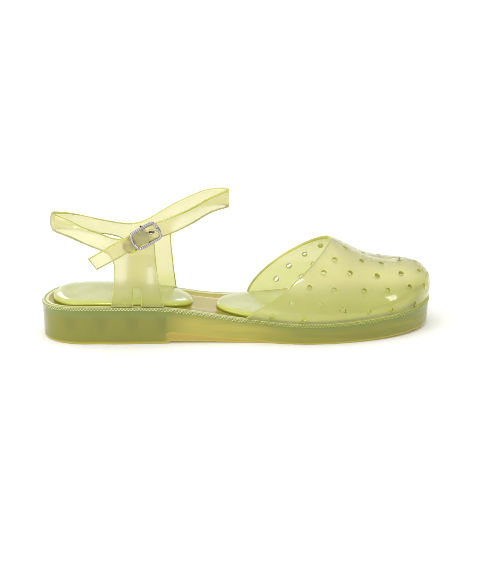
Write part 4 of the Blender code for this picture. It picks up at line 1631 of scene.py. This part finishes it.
@dataclass(frozen=True)
class AnkleLoop:
    """The oval of four arcs, seen from above, that the strap follows.

    A run along it starts in the middle of the outer side and goes back round the heel, along
    the inner side, round the front and on.
    """

    back_x: float = -120.9
    front_x: float = -5.2
    mid_y: float = -8.0
    half_width: float = 21.5
    end_radius: float = 7.0

    @cached_property
    def mid_x(self) -> float:
        """X of the oval's middle."""
        return (self.back_x + self.front_x) / 2

    @cached_property
    def end_centre(self) -> float:
        """How far the end arcs' centres lie from the middle."""
        return (self.front_x - self.back_x) / 2 - self.end_radius

    @cached_property
    def side_radius(self) -> float:
        """Radius of the long side arcs."""
        square = self.end_centre ** 2 + self.half_width ** 2 - self.end_radius ** 2
        return square / (2 * (self.half_width - self.end_radius))

    @cached_property
    def side_angle(self) -> float:
        """Half the angle of a side arc."""
        return math.atan2(self.end_centre, self.side_radius - self.half_width)

    @cached_property
    def side_half_run(self) -> float:
        """Half the length of a side arc."""
        return self.side_radius * self.side_angle

    @cached_property
    def end_run(self) -> float:
        """Length of an end arc."""
        return self.end_radius * (math.pi - 2 * self.side_angle)

    @cached_property
    def length(self) -> float:
        """Length of the whole oval."""
        return 4 * self.side_half_run + 2 * self.end_run

    @cached_property
    def back_run(self) -> float:
        """The run at the back of the heel."""
        return self.side_half_run + self.end_run / 2

    @cached_property
    def front_run(self) -> float:
        """The run at the front of the ankle."""
        return self.length - self.back_run

    def point(self, run: float) -> tuple[Vector, Vector]:
        """A point of the oval.

        Args:
            run: The way along it.

        Returns:
            The point and the outward normal, seen from above.
        """
        rest = run % self.length
        side_centre = self.side_radius - self.half_width
        half, end, radius = self.side_half_run, self.end_run, self.side_radius
        arcs = (
            (half, radius, 0.0, (0.0, side_centre)),
            (end, self.end_radius, self.side_angle, (-self.end_centre, 0.0)),
            (2 * half, radius, math.pi - self.side_angle, (0.0, -side_centre)),
            (end, self.end_radius, math.pi + self.side_angle, (self.end_centre, 0.0)),
            (half, radius, 2 * math.pi - self.side_angle, (0.0, side_centre)))
        for length, radius, angle, centre in arcs:
            if rest <= length:
                break
            rest -= length
        angle += rest / radius
        out = Vector((-math.sin(angle), -math.cos(angle)))
        return Vector((self.mid_x + centre[0], self.mid_y + centre[1])) + out * radius, out

    def run_at(self, x: float, side: Side, turn: int = 0) -> float:
        """The run at which the oval passes x.

        Args:
            x: Place along the shoe.
            side: On which side.
            turn: 1 on the outer side's second passage; the inner side has one alone.

        Returns:
            The run.
        """
        angle = math.asin(max(-1.0, min(1.0, (self.mid_x - x) / self.side_radius)))
        angle = max(-self.side_angle, min(self.side_angle, angle))
        if side is Side.OUTER:
            return angle * self.side_radius + turn * self.length
        return self.side_half_run + self.end_run + (self.side_angle - angle) * self.side_radius


@dataclass(frozen=True)
class BuckleSeat:
    """Where the buckle sits on the strap."""

    loop: AnkleLoop
    x: float = -61.8
    z: float = 72.3
    tilt: float = math.radians(29.0)
    hole_along: float = 4.0
    hole_radius: float = 1.5

    @property
    def matrix(self) -> Matrix:
        """The buckle's frame: X along the strap to the toe, Y across it, Z out of it.

        Returns:
            From the buckle's frame to the shoe's.
        """
        along = Vector((math.cos(self.tilt), 0.0, math.sin(self.tilt)))
        out = Vector((0.0, -1.0, 0.0))
        turn = Matrix((along, out.cross(along), out)).transposed().to_4x4()
        return Matrix.Translation((self.x, self.loop.mid_y - self.loop.half_width, self.z)) @ turn

    @property
    def hole(self) -> Pair:
        """The prong's hole in the flat strap.

        Returns:
            Its run and height.
        """
        x = self.x + self.hole_along * math.cos(self.tilt)
        z = self.z + self.hole_along * math.sin(self.tilt)
        return self.loop.run_at(x, Side.OUTER, 1), z


@dataclass(frozen=True)
class AnkleStrap:
    """Quarters, sling and instep strap, cut flat in one piece and bent round the ankle."""

    last: Last
    finish: Finish
    cut: Finish
    loop: AnkleLoop
    seat: BuckleSeat
    wall: float = 2.2
    soft_edge: float = 0.5
    inset: float = 1.2
    lean_top_z: float = 58.0     # below this the quarters lean out to the rim
    lean_drop: float = 0.5
    overlap_lift: float = 6.0    # the instep strap passes this far outside the outer quarter
    lift_start: float = 52.0
    lift_full: float = 18.0
    slot_half_width: float = 2.5
    slot_top_z: float = 37.5
    slot_corner: float = 1.1
    cell: float = 0.95
    curve_steps: int = 8
    slot_steps: int = 4
    corner_angle: float = math.radians(32)
    sheet_margin: float = 2.0    # of the grid that the strap is cut from
    cut_margin: float = 0.4      # in cells, inside the pattern's edge
    settle_rounds: int = 12
    outer_front: Rows = ((-56.3, 69.3), (-55.3, 62.8), (-54.8, 54.8), (-53.8, 44.0), (-52.0, 33.0))
    outer_rear: Rows = ((-83.0, 33.0), (-81.6, 45.0), (-81.9, 52.0), (-83.8, 56.5), (-88.0, 59.7),
                        (-102.0, 64.6), (-112.0, 67.8))
    inner_rear: Rows = ((-112.0, 68.0), (-100.0, 65.2), (-90.0, 62.6), (-80.0, 60.4), (-73.4, 57.6),
                        (-69.9, 52.6), (-68.7, 45.0), (-69.4, 33.0))
    inner_front: Rows = ((-38.7, 33.0), (-40.2, 47.0), (-41.2, 58.6), (-40.8, 64.8), (-37.6, 70.1),
                         (-29.0, 75.6), (-17.0, 81.0))
    outer_feet: Pair = (-50.2, -84.4)
    inner_feet: Pair = (-70.2, -37.3)
    outer_slot_x: float = -67.6
    inner_slot_x: float = -54.4
    sling_lower_back_z: float = 70.2
    instep_lower_front_z: float = 82.6
    instep_lower_outer: Rows = ((-17.0, 81.7), (-31.0, 77.4), (-46.0, 72.4), (-62.0, 66.9), (-78.0, 58.2))
    tail_end: Rows = ((-93.0, 50.4), (-98.5, 57.7))
    instep_upper_outer: Rows = ((-84.0, 65.9), (-62.0, 77.6), (-46.0, 83.2), (-31.0, 87.6), (-17.0, 91.7))
    instep_upper_front_z: float = 94.0
    inner_upper: Rows = ((-17.0, 91.9), (-29.0, 86.3), (-40.0, 80.3), (-50.0, 74.1), (-58.0, 69.5),
                         (-66.0, 67.7), (-75.0, 68.6), (-88.0, 72.0), (-100.0, 76.1), (-112.0, 80.1))
    sling_upper_back_z: float = 82.1
    sling_upper_outer: Rows = ((-112.0, 79.9), (-102.0, 75.7), (-90.0, 71.6), (-82.0, 68.8),
                               (-75.0, 68.5), (-67.0, 71.4), (-60.5, 72.6))
    sling_middle: Rows = ((-120.9, 76.2), (-112.0, 73.9), (-102.0, 70.2), (-90.0, 66.8))
    sling_half_height: float = 5.9
    cup: float = 1.4             # the sling's edges turn in by this at the back of the heel
    cup_run: Pair = (-94.0, -116.0)

    def flat(self, rows: Rows, side: Side, turn: int = 0) -> list[Pair]:
        """Rows of (x, z) on one side as (run, z) of the flat strap."""
        return [(self.loop.run_at(x, side, turn), z) for x, z in rows]

    def foot_edge(self, feet: Pair, slot_x: float, side: Side) -> list[Pair]:
        """The lower edge of a quarter: two feet on the rim with the slot between them.

        Args:
            feet: X of the two ends.
            slot_x: X of the slot's middle.
            side: On which side.

        Returns:
            Points of (run, z).
        """
        first = 1 if feet[1] > feet[0] else -1
        slot = [slot_x - first * self.slot_half_width, slot_x + first * self.slot_half_width]
        ends = [(x, self.last.rim_z(x) + FOOT_GAP + self.lean_drop) for x in (feet[0], *slot, feet[1])]
        corner = self.slot_corner
        rise = [(first * corner * (1 - math.cos(a)), corner * (math.sin(a) - 1))
                for a in quarter_turn(self.slot_steps)]
        top = [(slot[0] + dx, self.slot_top_z + dz) for dx, dz in rise]
        top += [(slot[1] - dx, self.slot_top_z + dz) for dx, dz in reversed(rise)]
        return self.flat((*ends[:2], *top, *ends[2:]), side)

    def pattern(self) -> list[Pair]:
        """The outline of the whole strap, laid flat.

        Returns:
            Points of (run, z).
        """
        outer, inner, loop = Side.OUTER, Side.INNER, self.loop
        front = self.flat(self.outer_front, outer)
        sling = [*self.flat(self.outer_rear, outer), (loop.back_run, self.sling_lower_back_z),
                 *self.flat(self.inner_rear, inner)]
        instep = [*self.flat(self.inner_front, inner), (loop.front_run, self.instep_lower_front_z),
                  *self.flat(self.instep_lower_outer, outer, 1)]
        upper = [*self.flat(self.instep_upper_outer, outer, 1), (loop.front_run, self.instep_upper_front_z),
                 *self.flat(self.inner_upper, inner), (loop.back_run, self.sling_upper_back_z),
                 *self.flat(self.sling_upper_outer, outer)]
        front, sling, instep, upper = (
            rounded(line, self.curve_steps) for line in (front, sling, instep, upper))
        return [*front, *self.foot_edge(self.outer_feet, self.outer_slot_x, outer),
                *sling, *self.foot_edge(self.inner_feet, self.inner_slot_x, inner), *instep,
                *((loop.length + loop.mid_x - x, z) for x, z in self.tail_end), *upper]

    def place(self, run: float, z: float) -> Vector:
        """Bends the flat strap round the ankle.

        Args:
            run: The way along the flat strap.
            z: Height on it.

        Returns:
            The point of the outer face.
        """
        loop = self.loop
        before_end = loop.length - run
        lift = self.overlap_lift * ease((self.lift_start - before_end) / (self.lift_start - self.lift_full))
        if run > loop.length:
            return Vector((loop.mid_x - (run - loop.length), loop.mid_y - loop.half_width - lift, z))
        at, out = loop.point(run)
        start, full = self.cup_run
        off_middle = min(1.0, abs(z - curve_of(self.sling_middle).at(at.x)) / self.sling_half_height)
        at = at + out * (lift - self.cup * ease((at.x - start) / (full - start)) * off_middle ** 2)
        side = Side.OUTER if out.y < 0 else Side.INNER
        if z < self.lean_top_z:
            foot_z = self.last.rim_z(at.x) + FOOT_GAP
            foot_y = self.last.inset_point(at.x, side, self.inset).y
            at.y += (foot_y - at.y) * (self.lean_top_z - z) / (self.lean_top_z - foot_z)
        return Vector((at.x, at.y, z))

    def cut_out(self) -> Mesh:
        """Cuts the flat strap from an even grid and fits the grid's edge to the pattern.

        Returns:
            The flat sheet, with the run as X and the height as Z.
        """
        line = [Vector((run, 0.0, z)) for run, z in self.pattern()]
        margin = self.sheet_margin
        low_x, high_x = min(p.x for p in line) - margin, max(p.x for p in line) + margin
        low_z, high_z = min(p.z for p in line) - margin, max(p.z for p in line) + margin
        columns, rows = round((high_x - low_x) / self.cell), round((high_z - low_z) / self.cell)

        def spread(i: int, j: int) -> Vector:
            """The flat grid's corner."""
            return Vector((low_x + (high_x - low_x) * i / columns, 0.0, low_z + (high_z - low_z) * j / rows))

        bm = mapped_grid(columns, rows, spread)
        outline = Outline(line, self.corner_angle)
        outside = [v for v in bm.verts if not outline.holds(v.co, self.cut_margin * self.cell)]
        bmesh.ops.delete(bm, geom=outside, context="VERTS")
        outline.fit(bm)
        run, z = self.seat.hole
        hole = (Vector((run, 0.0, z)), Vector((0.0, -1.0, 0.0)))
        open_holes(bm, [hole], self.seat.hole_radius, self.cell)
        settle(bm, list(bm.verts), self.settle_rounds)
        return bm

    def build(self) -> Piece:
        """Builds and dresses the ankle strap.

        Returns:
            The piece.
        """
        bm = self.cut_out()
        for vert in bm.verts:
            vert.co = self.place(vert.co.x, vert.co.z)
        face_away(bm, Vector((self.loop.mid_x, self.loop.mid_y, self.lean_top_z)))
        mark_free_edges(bm, self.last, [self.place(*self.seat.hole)], self.seat.hole_radius)
        piece = add_piece("ankle_strap", bm, self.finish, ["ankle_strap"], self.last.shift_y)
        give_wall(piece, self.wall, self.soft_edge, self.cut)
        return piece


class Outline:
    """A closed flat outline that a grid is cut and fitted to."""

    def __init__(self, line: Sequence[Vector], corner_angle: float, step: float = 0.1,
                 least: float = 0.05) -> None:
        """Samples the outline finely.

        Args:
            line: Its points, in the XZ plane.
            corner_angle: A sharper turn than this is a corner.
            step: The samples' distance.
            least: Points nearer than this to the one before are left out.
        """
        self.line = [p for k, p in enumerate(line) if (p - line[k - 1]).length > least]
        self.samples: list[Vector] = []
        self.corners: list[int] = []
        count = len(self.line)
        for k, start in enumerate(self.line):
            end = self.line[(k + 1) % count]
            if (start - self.line[k - 1]).angle(end - start) > corner_angle:
                self.corners.append(len(self.samples))
            cuts = max(1, round((end - start).length / step))
            self.samples += [start.lerp(end, c / cuts) for c in range(cuts)]
        self.tree = search_tree(self.samples)

    def holds(self, point: Vector, margin: float) -> bool:
        """Whether a point lies inside, and not within the margin of the outline.

        Args:
            point: The point.
            margin: How far in it has to lie.

        Returns:
            True if it does.
        """
        if self.tree.find(point)[2] < margin:
            return False
        crossings = 0
        for k, end in enumerate(self.line):
            start = self.line[k - 1]
            if (start.x > point.x) != (end.x > point.x):
                height = start.z + (end.z - start.z) * (point.x - start.x) / (end.x - start.x)
                crossings += height > point.z
        return crossings % 2 == 1

    def fit(self, bm: Mesh) -> None:
        """Moves a cut grid's edge onto the outline, evenly spaced between its corners.

        Args:
            bm: The grid, changed in place.
        """
        start = next(v for v in bm.verts if v.is_boundary)
        loop, last = [start], None
        while True:
            steps = [e.other_vert(loop[-1]) for e in loop[-1].link_edges if e.is_boundary]
            ahead = next(v for v in steps if v is not last)
            if ahead is start:
                break
            last = loop[-1]
            loop.append(ahead)
        nearest = [self.tree.find(v.co)[1] for v in loop]
        total = len(self.samples)
        forward = sum(0 < (b - a) % total < total / 2 for a, b in zip(nearest, nearest[1:]))
        if forward < len(loop) / 2:
            loop.reverse()
        held = {}
        for corner in self.corners:
            vert = min(loop, key=lambda v: (v.co - self.samples[corner]).length)
            held[loop.index(vert)] = corner
        stops = sorted(held)
        for first, second in zip(stops, [*stops[1:], stops[0] + len(loop)]):
            begin = held[first]
            stretch = (held[second % len(loop)] - begin) % total
            for k in range(first, second):
                share = (k - first) / (second - first)
                loop[k % len(loop)].co = self.samples[(begin + round(stretch * share)) % total]


# Buckle

@dataclass(frozen=True)
class Buckle:
    """The buckle: wire frame with its bar, folded tab and prong, in the seat's own frame."""

    last: Last
    seat: BuckleSeat
    metal: Finish
    tab_finish: Finish
    strap_lift: float = 6.0
    wire: float = 0.85
    half_length: float = 9.1
    half_width: float = 5.8
    corner: float = 2.2
    bow: float = 0.6
    bar_wire: float = 0.7
    bar_turn: float = 1.0
    sleeve_radius: float = 1.6
    tab_length: float = 17.0
    tab_half_width: float = 4.4
    tab_wall: float = 1.4
    tab_edge: float = 0.3
    tab_end_radius: float = 5.4
    tab_end_drop: float = 2.2
    prong_wire: float = 0.6
    prong_slot: float = 2.4
    prong_over: float = 0.4
    prong_start: Rows = ((1.2, 0.2), (2.6, 1.2))     # along the strap, height over the bar
    prong_sink: float = 1.1      # under the strap's face at its hole
    prong_end: Rows = ((5.4, -1.6), (6.9, 0.0))      # along the strap, height over the resting tip
    prong_steps: int = 4
    eye_step: float = 0.1        # how much smaller the prong's eye is than the tab's sleeves
    sleeve_edge: float = 0.12
    fine_weld: float = 0.001
    wire_sides: int = 20
    sleeve_sides: int = 36
    tab_end_steps: int = 24
    bar_steps: int = 4
    corner_steps: int = 10

    @property
    def bar_out(self) -> float:
        """The bar's axis above the quarter's face."""
        return GAP + self.sleeve_radius

    @property
    def frame_out(self) -> float:
        """The frame's middle above the quarter's face."""
        return self.strap_lift + GAP + self.wire

    def frame_line(self) -> list[Vector]:
        """A rectangle with round corners and gently bowed ends.

        Returns:
            The frame's axis.
        """
        made = []
        flat = self.half_width - self.corner
        for turn, (along, across) in enumerate(((1, -1), (1, 1), (-1, 1), (-1, -1))):
            centre = Vector((along * (self.half_length - self.corner - self.bow), across * flat))
            for k in range(self.corner_steps + 1):
                angle = math.pi / 2 * (turn - 1 + k / self.corner_steps)
                made.append(centre + self.corner * Vector((math.cos(angle), math.sin(angle))))
            if turn in (0, 2):
                for k in range(1, self.corner_steps):
                    share = 2 * k / self.corner_steps - 1
                    bowed = self.half_length - self.bow * share * share
                    made.append(Vector((along * bowed, along * share * flat)))
        return [Vector((p.x, p.y, self.frame_out)) for p in made]

    def seated(self, name: str, bm: Mesh, finish: Finish) -> Piece:
        """Sets a form of the buckle's frame in its place on the strap.

        Args:
            name: The piece's name, which is its node's too.
            bm: The form.
            finish: What it is dressed with.

        Returns:
            The piece.
        """
        bmesh.ops.transform(bm, matrix=self.seat.matrix, verts=bm.verts)
        piece = add_piece(name, bm, finish, [name], self.last.shift_y)
        piece.data.set_sharp_from_angle(angle=SHARP_ANGLE)
        return piece

    def build_frame(self) -> Piece:
        """Builds the wire frame and the bar that dips under the strap.

        Returns:
            The piece.
        """
        ring = tube(self.frame_line(), self.wire, self.wire_sides, Vector((0, 0, 1)), closed=True)
        rail, turn, low = self.half_width, self.bar_turn, self.bar_out
        left = [(-rail, self.frame_out)]
        left += [(turn * (1 - math.cos(a)) - rail, low + turn * (1 - math.sin(a)))
                 for a in quarter_turn(self.bar_steps)]
        line = left + [(-across, out) for across, out in reversed(left)]
        points = [Vector((0.0, across, out)) for across, out in line]
        bar = tube(points, self.bar_wire, self.wire_sides, Vector((1, 0, 0)))
        return self.seated("buckle_frame", union(ring, bar), self.metal)

    def sleeve(self, outer: float, length: float, at: float) -> Mesh:
        """A short tube round the bar.

        Args:
            outer: Its outer radius.
            length: Its length across the strap.
            at: Where its middle lies across the strap.

        Returns:
            A closed bmesh.
        """
        inner, half, soft = self.bar_wire + GAP, length / 2, self.sleeve_edge
        profile = [(inner, -half), (outer - soft, -half), (outer, soft - half), (outer, half - soft),
                   (outer - soft, half), (inner, half)]
        bm = bmesh.new()
        corners = [bm.verts.new((radius, across + at, 0.0)) for radius, across in profile]
        line = [bm.edges.new((corners[k - 1], corners[k])) for k in range(len(corners))]
        bmesh.ops.spin(bm, geom=corners + line, angle=2 * math.pi, steps=self.sleeve_sides,
                       axis=(0, 1, 0), cent=(0, 0, 0), use_merge=True)
        close_up(bm, self.fine_weld)
        bmesh.ops.translate(bm, vec=(0, 0, self.bar_out), verts=bm.verts)
        return bm

    def build_tab(self) -> Piece:
        """Builds the folded tab: a round-ended plate with two sleeves on the bar.

        Returns:
            The piece.
        """
        half, radius, slot = self.tab_half_width, self.tab_end_radius, self.prong_slot / 2
        steps = self.tab_end_steps
        arc = [math.pi / 2 + math.pi * k / steps for k in range(steps + 1)]
        line = [(radius - self.tab_length + radius * math.cos(a), radius * math.sin(a) - self.tab_end_drop)
                for a in arc]
        edge = -(self.bar_wire + GAP + self.sleeve_radius) / 2
        notch = -self.sleeve_radius - GAP
        line += [(edge, -half), (edge, -slot), (notch, -slot), (notch, slot), (edge, slot), (edge, half)]
        bm = bmesh.new()
        plate = bm.faces.new([bm.verts.new((x, y, GAP)) for x, y in line])
        raised = bmesh.ops.extrude_face_region(bm, geom=[plate])["geom"]
        top = [v for v in raised if isinstance(v, bmesh.types.BMVert)]
        bmesh.ops.translate(bm, vec=(0, 0, self.tab_wall), verts=top)
        close_up(bm, self.fine_weld)
        rims = [e for e in bm.edges if abs(e.verts[0].co.z - e.verts[1].co.z) < self.tab_wall / 2]
        bmesh.ops.bevel(bm, geom=rims, offset=self.tab_edge, affect="EDGES",
                        segments=EDGE_SEGMENTS, profile=0.5, material=-1)
        width = half - slot - GAP
        for side in (-1, 1):
            middle = side * (self.prong_slot + width + GAP) / 2
            bm = union(bm, self.sleeve(self.sleeve_radius, width, middle))
        return self.seated("buckle_tab", bm, self.tab_finish)

    def build_prong(self) -> Piece:
        """Builds the prong: an eye on the bar and a pin through the strap onto the frame.

        Returns:
            The piece.
        """
        eye = self.sleeve(self.sleeve_radius - self.eye_step, self.prong_slot - 2 * GAP, 0.0)
        rest = self.frame_out + self.wire + self.prong_wire + GAP
        tip = self.half_length + self.prong_over - self.prong_wire
        bend = [(x, self.bar_out + out) for x, out in self.prong_start]
        bend.append((self.seat.hole_along, self.strap_lift - self.prong_sink))
        bend += [(x, rest + out) for x, out in self.prong_end]
        line = rounded([*bend, (tip, rest)], self.prong_steps)
        points = [Vector((x, 0.0, out)) for x, out in line]
        pin = tube(points, self.prong_wire, self.wire_sides, Vector((0, 1, 0)))
        return self.seated("buckle_prong", union(eye, pin), self.metal)


# Studio

@dataclass(frozen=True)
class Softbox:
    """A large soft lamp that faces the shoe."""

    name: str
    place: Triple
    size: Pair
    power: float
    gloss_only: bool = False     # seen in reflections alone
    gloss: bool = True
    roll: float = 0.0

    def build(self, target: Vector) -> None:
        """Hangs the lamp.

        Args:
            target: What it faces.
        """
        data = bpy.data.lights.new(self.name, "AREA")
        data.shape = "RECTANGLE"
        data.size, data.size_y = self.size
        data.energy = self.power
        lamp = bpy.data.objects.new(self.name, data)
        bpy.context.scene.collection.objects.link(lamp)
        lamp.location = self.place
        turn = (Vector(self.place) - target).to_track_quat("Z", "Y").to_matrix()
        lamp.rotation_euler = (turn @ Matrix.Rotation(self.roll, 3, "Z")).to_euler()
        lamp.visible_diffuse = lamp.visible_transmission = not self.gloss_only
        lamp.visible_glossy = self.gloss
        lamp.visible_camera = False


@dataclass(frozen=True)
class Studio:
    """A white floor, soft light and the camera at the photograph's angle."""

    floor_half: float = 8.0
    floor_white: float = 0.95
    zenith: float = 0.85
    horizon: float = 0.5
    floor_roughness: float = 0.9
    sky_top: float = 0.8
    front_dark: float = 0.6      # how much darker the surround in front of the shoe is in reflections
    front_from: Pair = (0.0, -0.5)
    front_height: Pair = (0.75, 0.45)
    azimuth: float = math.radians(-6.7)
    elevation: float = math.radians(16.5)
    distance: float = 2.0
    lens: float = 192.0
    target: Triple = (0.0026, 0.0061, 0.025)
    softboxes: tuple[Softbox, ...] = (
        Softbox("top_softbox", (0.0, 0.6, 2.6), (3.6, 3.6), 34.0, gloss=False),
        Softbox("left_key", (-1.7, -1.2, 1.3), (1.6, 1.6), 20.0),
        Softbox("front_fill", (0.2, -2.4, 1.7), (2.4, 1.2), 10.0, gloss=False),
        Softbox("collar_bar", (-0.205, -1.458, 1.635), (0.05, 1.1), 9.3, gloss_only=True, roll=-0.66),
        Softbox("back_card", (0.0, 3.5, 0.4), (6.0, 0.75), 7.0, gloss_only=True),
        Softbox("pad_light", (0.38, 1.60, 0.67), (0.12, 0.08), 0.22, gloss_only=True),
        Softbox("heel_light", (-0.22, 1.55, 0.66), (0.2, 0.3), 0.8, gloss_only=True),
        Softbox("toe_light", (1.5, -1.2, 0.9), (0.25, 0.7), 6.0, gloss_only=True),
        Softbox("sling_light", (-0.77, -0.92, 0.10), (0.25, 0.06), 1.0, gloss_only=True))
    bounces: int = 24
    pixel_filter: float = 0.9

    def build_floor(self) -> None:
        """Lays the floor."""
        bm = bmesh.new()
        bmesh.ops.create_grid(bm, x_segments=1, y_segments=1, size=self.floor_half)
        floor = object_of("floor", bm)
        material = bpy.data.materials.new("white_floor")
        material.use_nodes = True
        tree = Tree(material.node_tree)
        white = (self.floor_white, self.floor_white, self.floor_white, 1.0)
        shell = tree.add("BsdfPrincipled", {"Base Color": white, "Roughness": self.floor_roughness,
                                            "Specular IOR Level": 0.0})
        tree.add("OutputMaterial", {"Surface": shell.outputs[0]})
        floor.data.materials.append(material)
        floor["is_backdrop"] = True

    def build_sky(self) -> None:
        """Sets a soft surround, brighter overhead than at the horizon."""
        world = bpy.data.worlds.new("studio")
        world.use_nodes = True
        tree = Tree(world.node_tree)
        way = tree.add("SeparateXYZ", {0: tree.add("TexCoord").outputs["Generated"]}).outputs
        strength = tree.span(way["Z"], (0.0, self.sky_top), (self.horizon, self.zenith))
        front = tree.times(tree.ramp(way["Y"], *self.front_from), tree.ramp(way["Z"], *self.front_height))
        dark = tree.times(front, self.front_dark, tree.add("LightPath").outputs["Is Glossy Ray"])
        strength = tree.math("MULTIPLY", strength, tree.math("SUBTRACT", 1.0, dark))
        light = tree.add("Background", {"Strength": strength, "Color": (1.0, 1.0, 1.0, 1.0)})
        tree.add("OutputWorld", {"Surface": light.outputs[0]})
        bpy.context.scene.world = world

    def build_camera(self) -> None:
        """Sets the camera."""
        back = Vector((math.sin(self.azimuth) * math.cos(self.elevation),
                       -math.cos(self.azimuth) * math.cos(self.elevation), math.sin(self.elevation)))
        data = bpy.data.cameras.new("camera")
        data.lens = self.lens
        camera = bpy.data.objects.new("camera", data)
        camera.location = Vector(self.target) + back * self.distance
        camera.rotation_euler = back.to_track_quat("Z", "Y").to_euler()
        bpy.context.scene.collection.objects.link(camera)
        bpy.context.scene.camera = camera

    def build(self) -> None:
        """Sets up the whole studio."""
        self.build_floor()
        self.build_sky()
        self.build_camera()
        for softbox in self.softboxes:
            softbox.build(Vector(self.target))
        scene = bpy.context.scene
        scene.view_settings.view_transform = "Standard"
        scene.cycles.use_denoising = True
        scene.cycles.denoising_prefilter = "NONE"
        scene.cycles.filter_width = self.pixel_filter
        scene.cycles.max_bounces = scene.cycles.transmission_bounces = self.bounces
        scene.cycles.glossy_bounces = scene.cycles.transparent_max_bounces = self.bounces
        scene.cycles.caustics_refractive = False
        scene.cycles.caustics_reflective = False


def write_sizes() -> None:
    """Gathers the CAD model's box and the visual model's, and keeps neither."""
    boxes = {"cad": CAD_BOX, "visual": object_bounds()}
    {name: [list(corner) for corner in box] for name, box in boxes.items()}


def main() -> None:
    """Builds the studio and the sandal, and reports each piece."""
    logging.basicConfig(level=logging.INFO, format="%(name)s: %(message)s")
    last, loop = Last(), AnkleLoop()
    seat = BuckleSeat(loop)
    clear, cut = ClearJelly(), CutEdge()
    pad = PadJelly()
    buckle = Buckle(last, seat, Nickel(), GrainedTab())
    Studio().build()
    makers = (
        Sole(last, SoleJelly()).build,
        CushionPad(last, pad, "heel_pad", (-119.0, -29.5), (12.0, 28.0)).build,
        CushionPad(last, pad, "forefoot_pad", (-14.5, 118.0), (30.0, 16.0), skew=-6.0).build,
        Vamp(last, clear, cut).build,
        AnkleStrap(last, clear, cut, loop, seat).build,
        buckle.build_tab,
        buckle.build_frame,
        buckle.build_prong)
    for make in makers:
        piece = make()
        LOG.info("%s: %d faces", piece.name, len(piece.data.polygons))
    write_sizes()


if __name__ == "__main__":
    main()
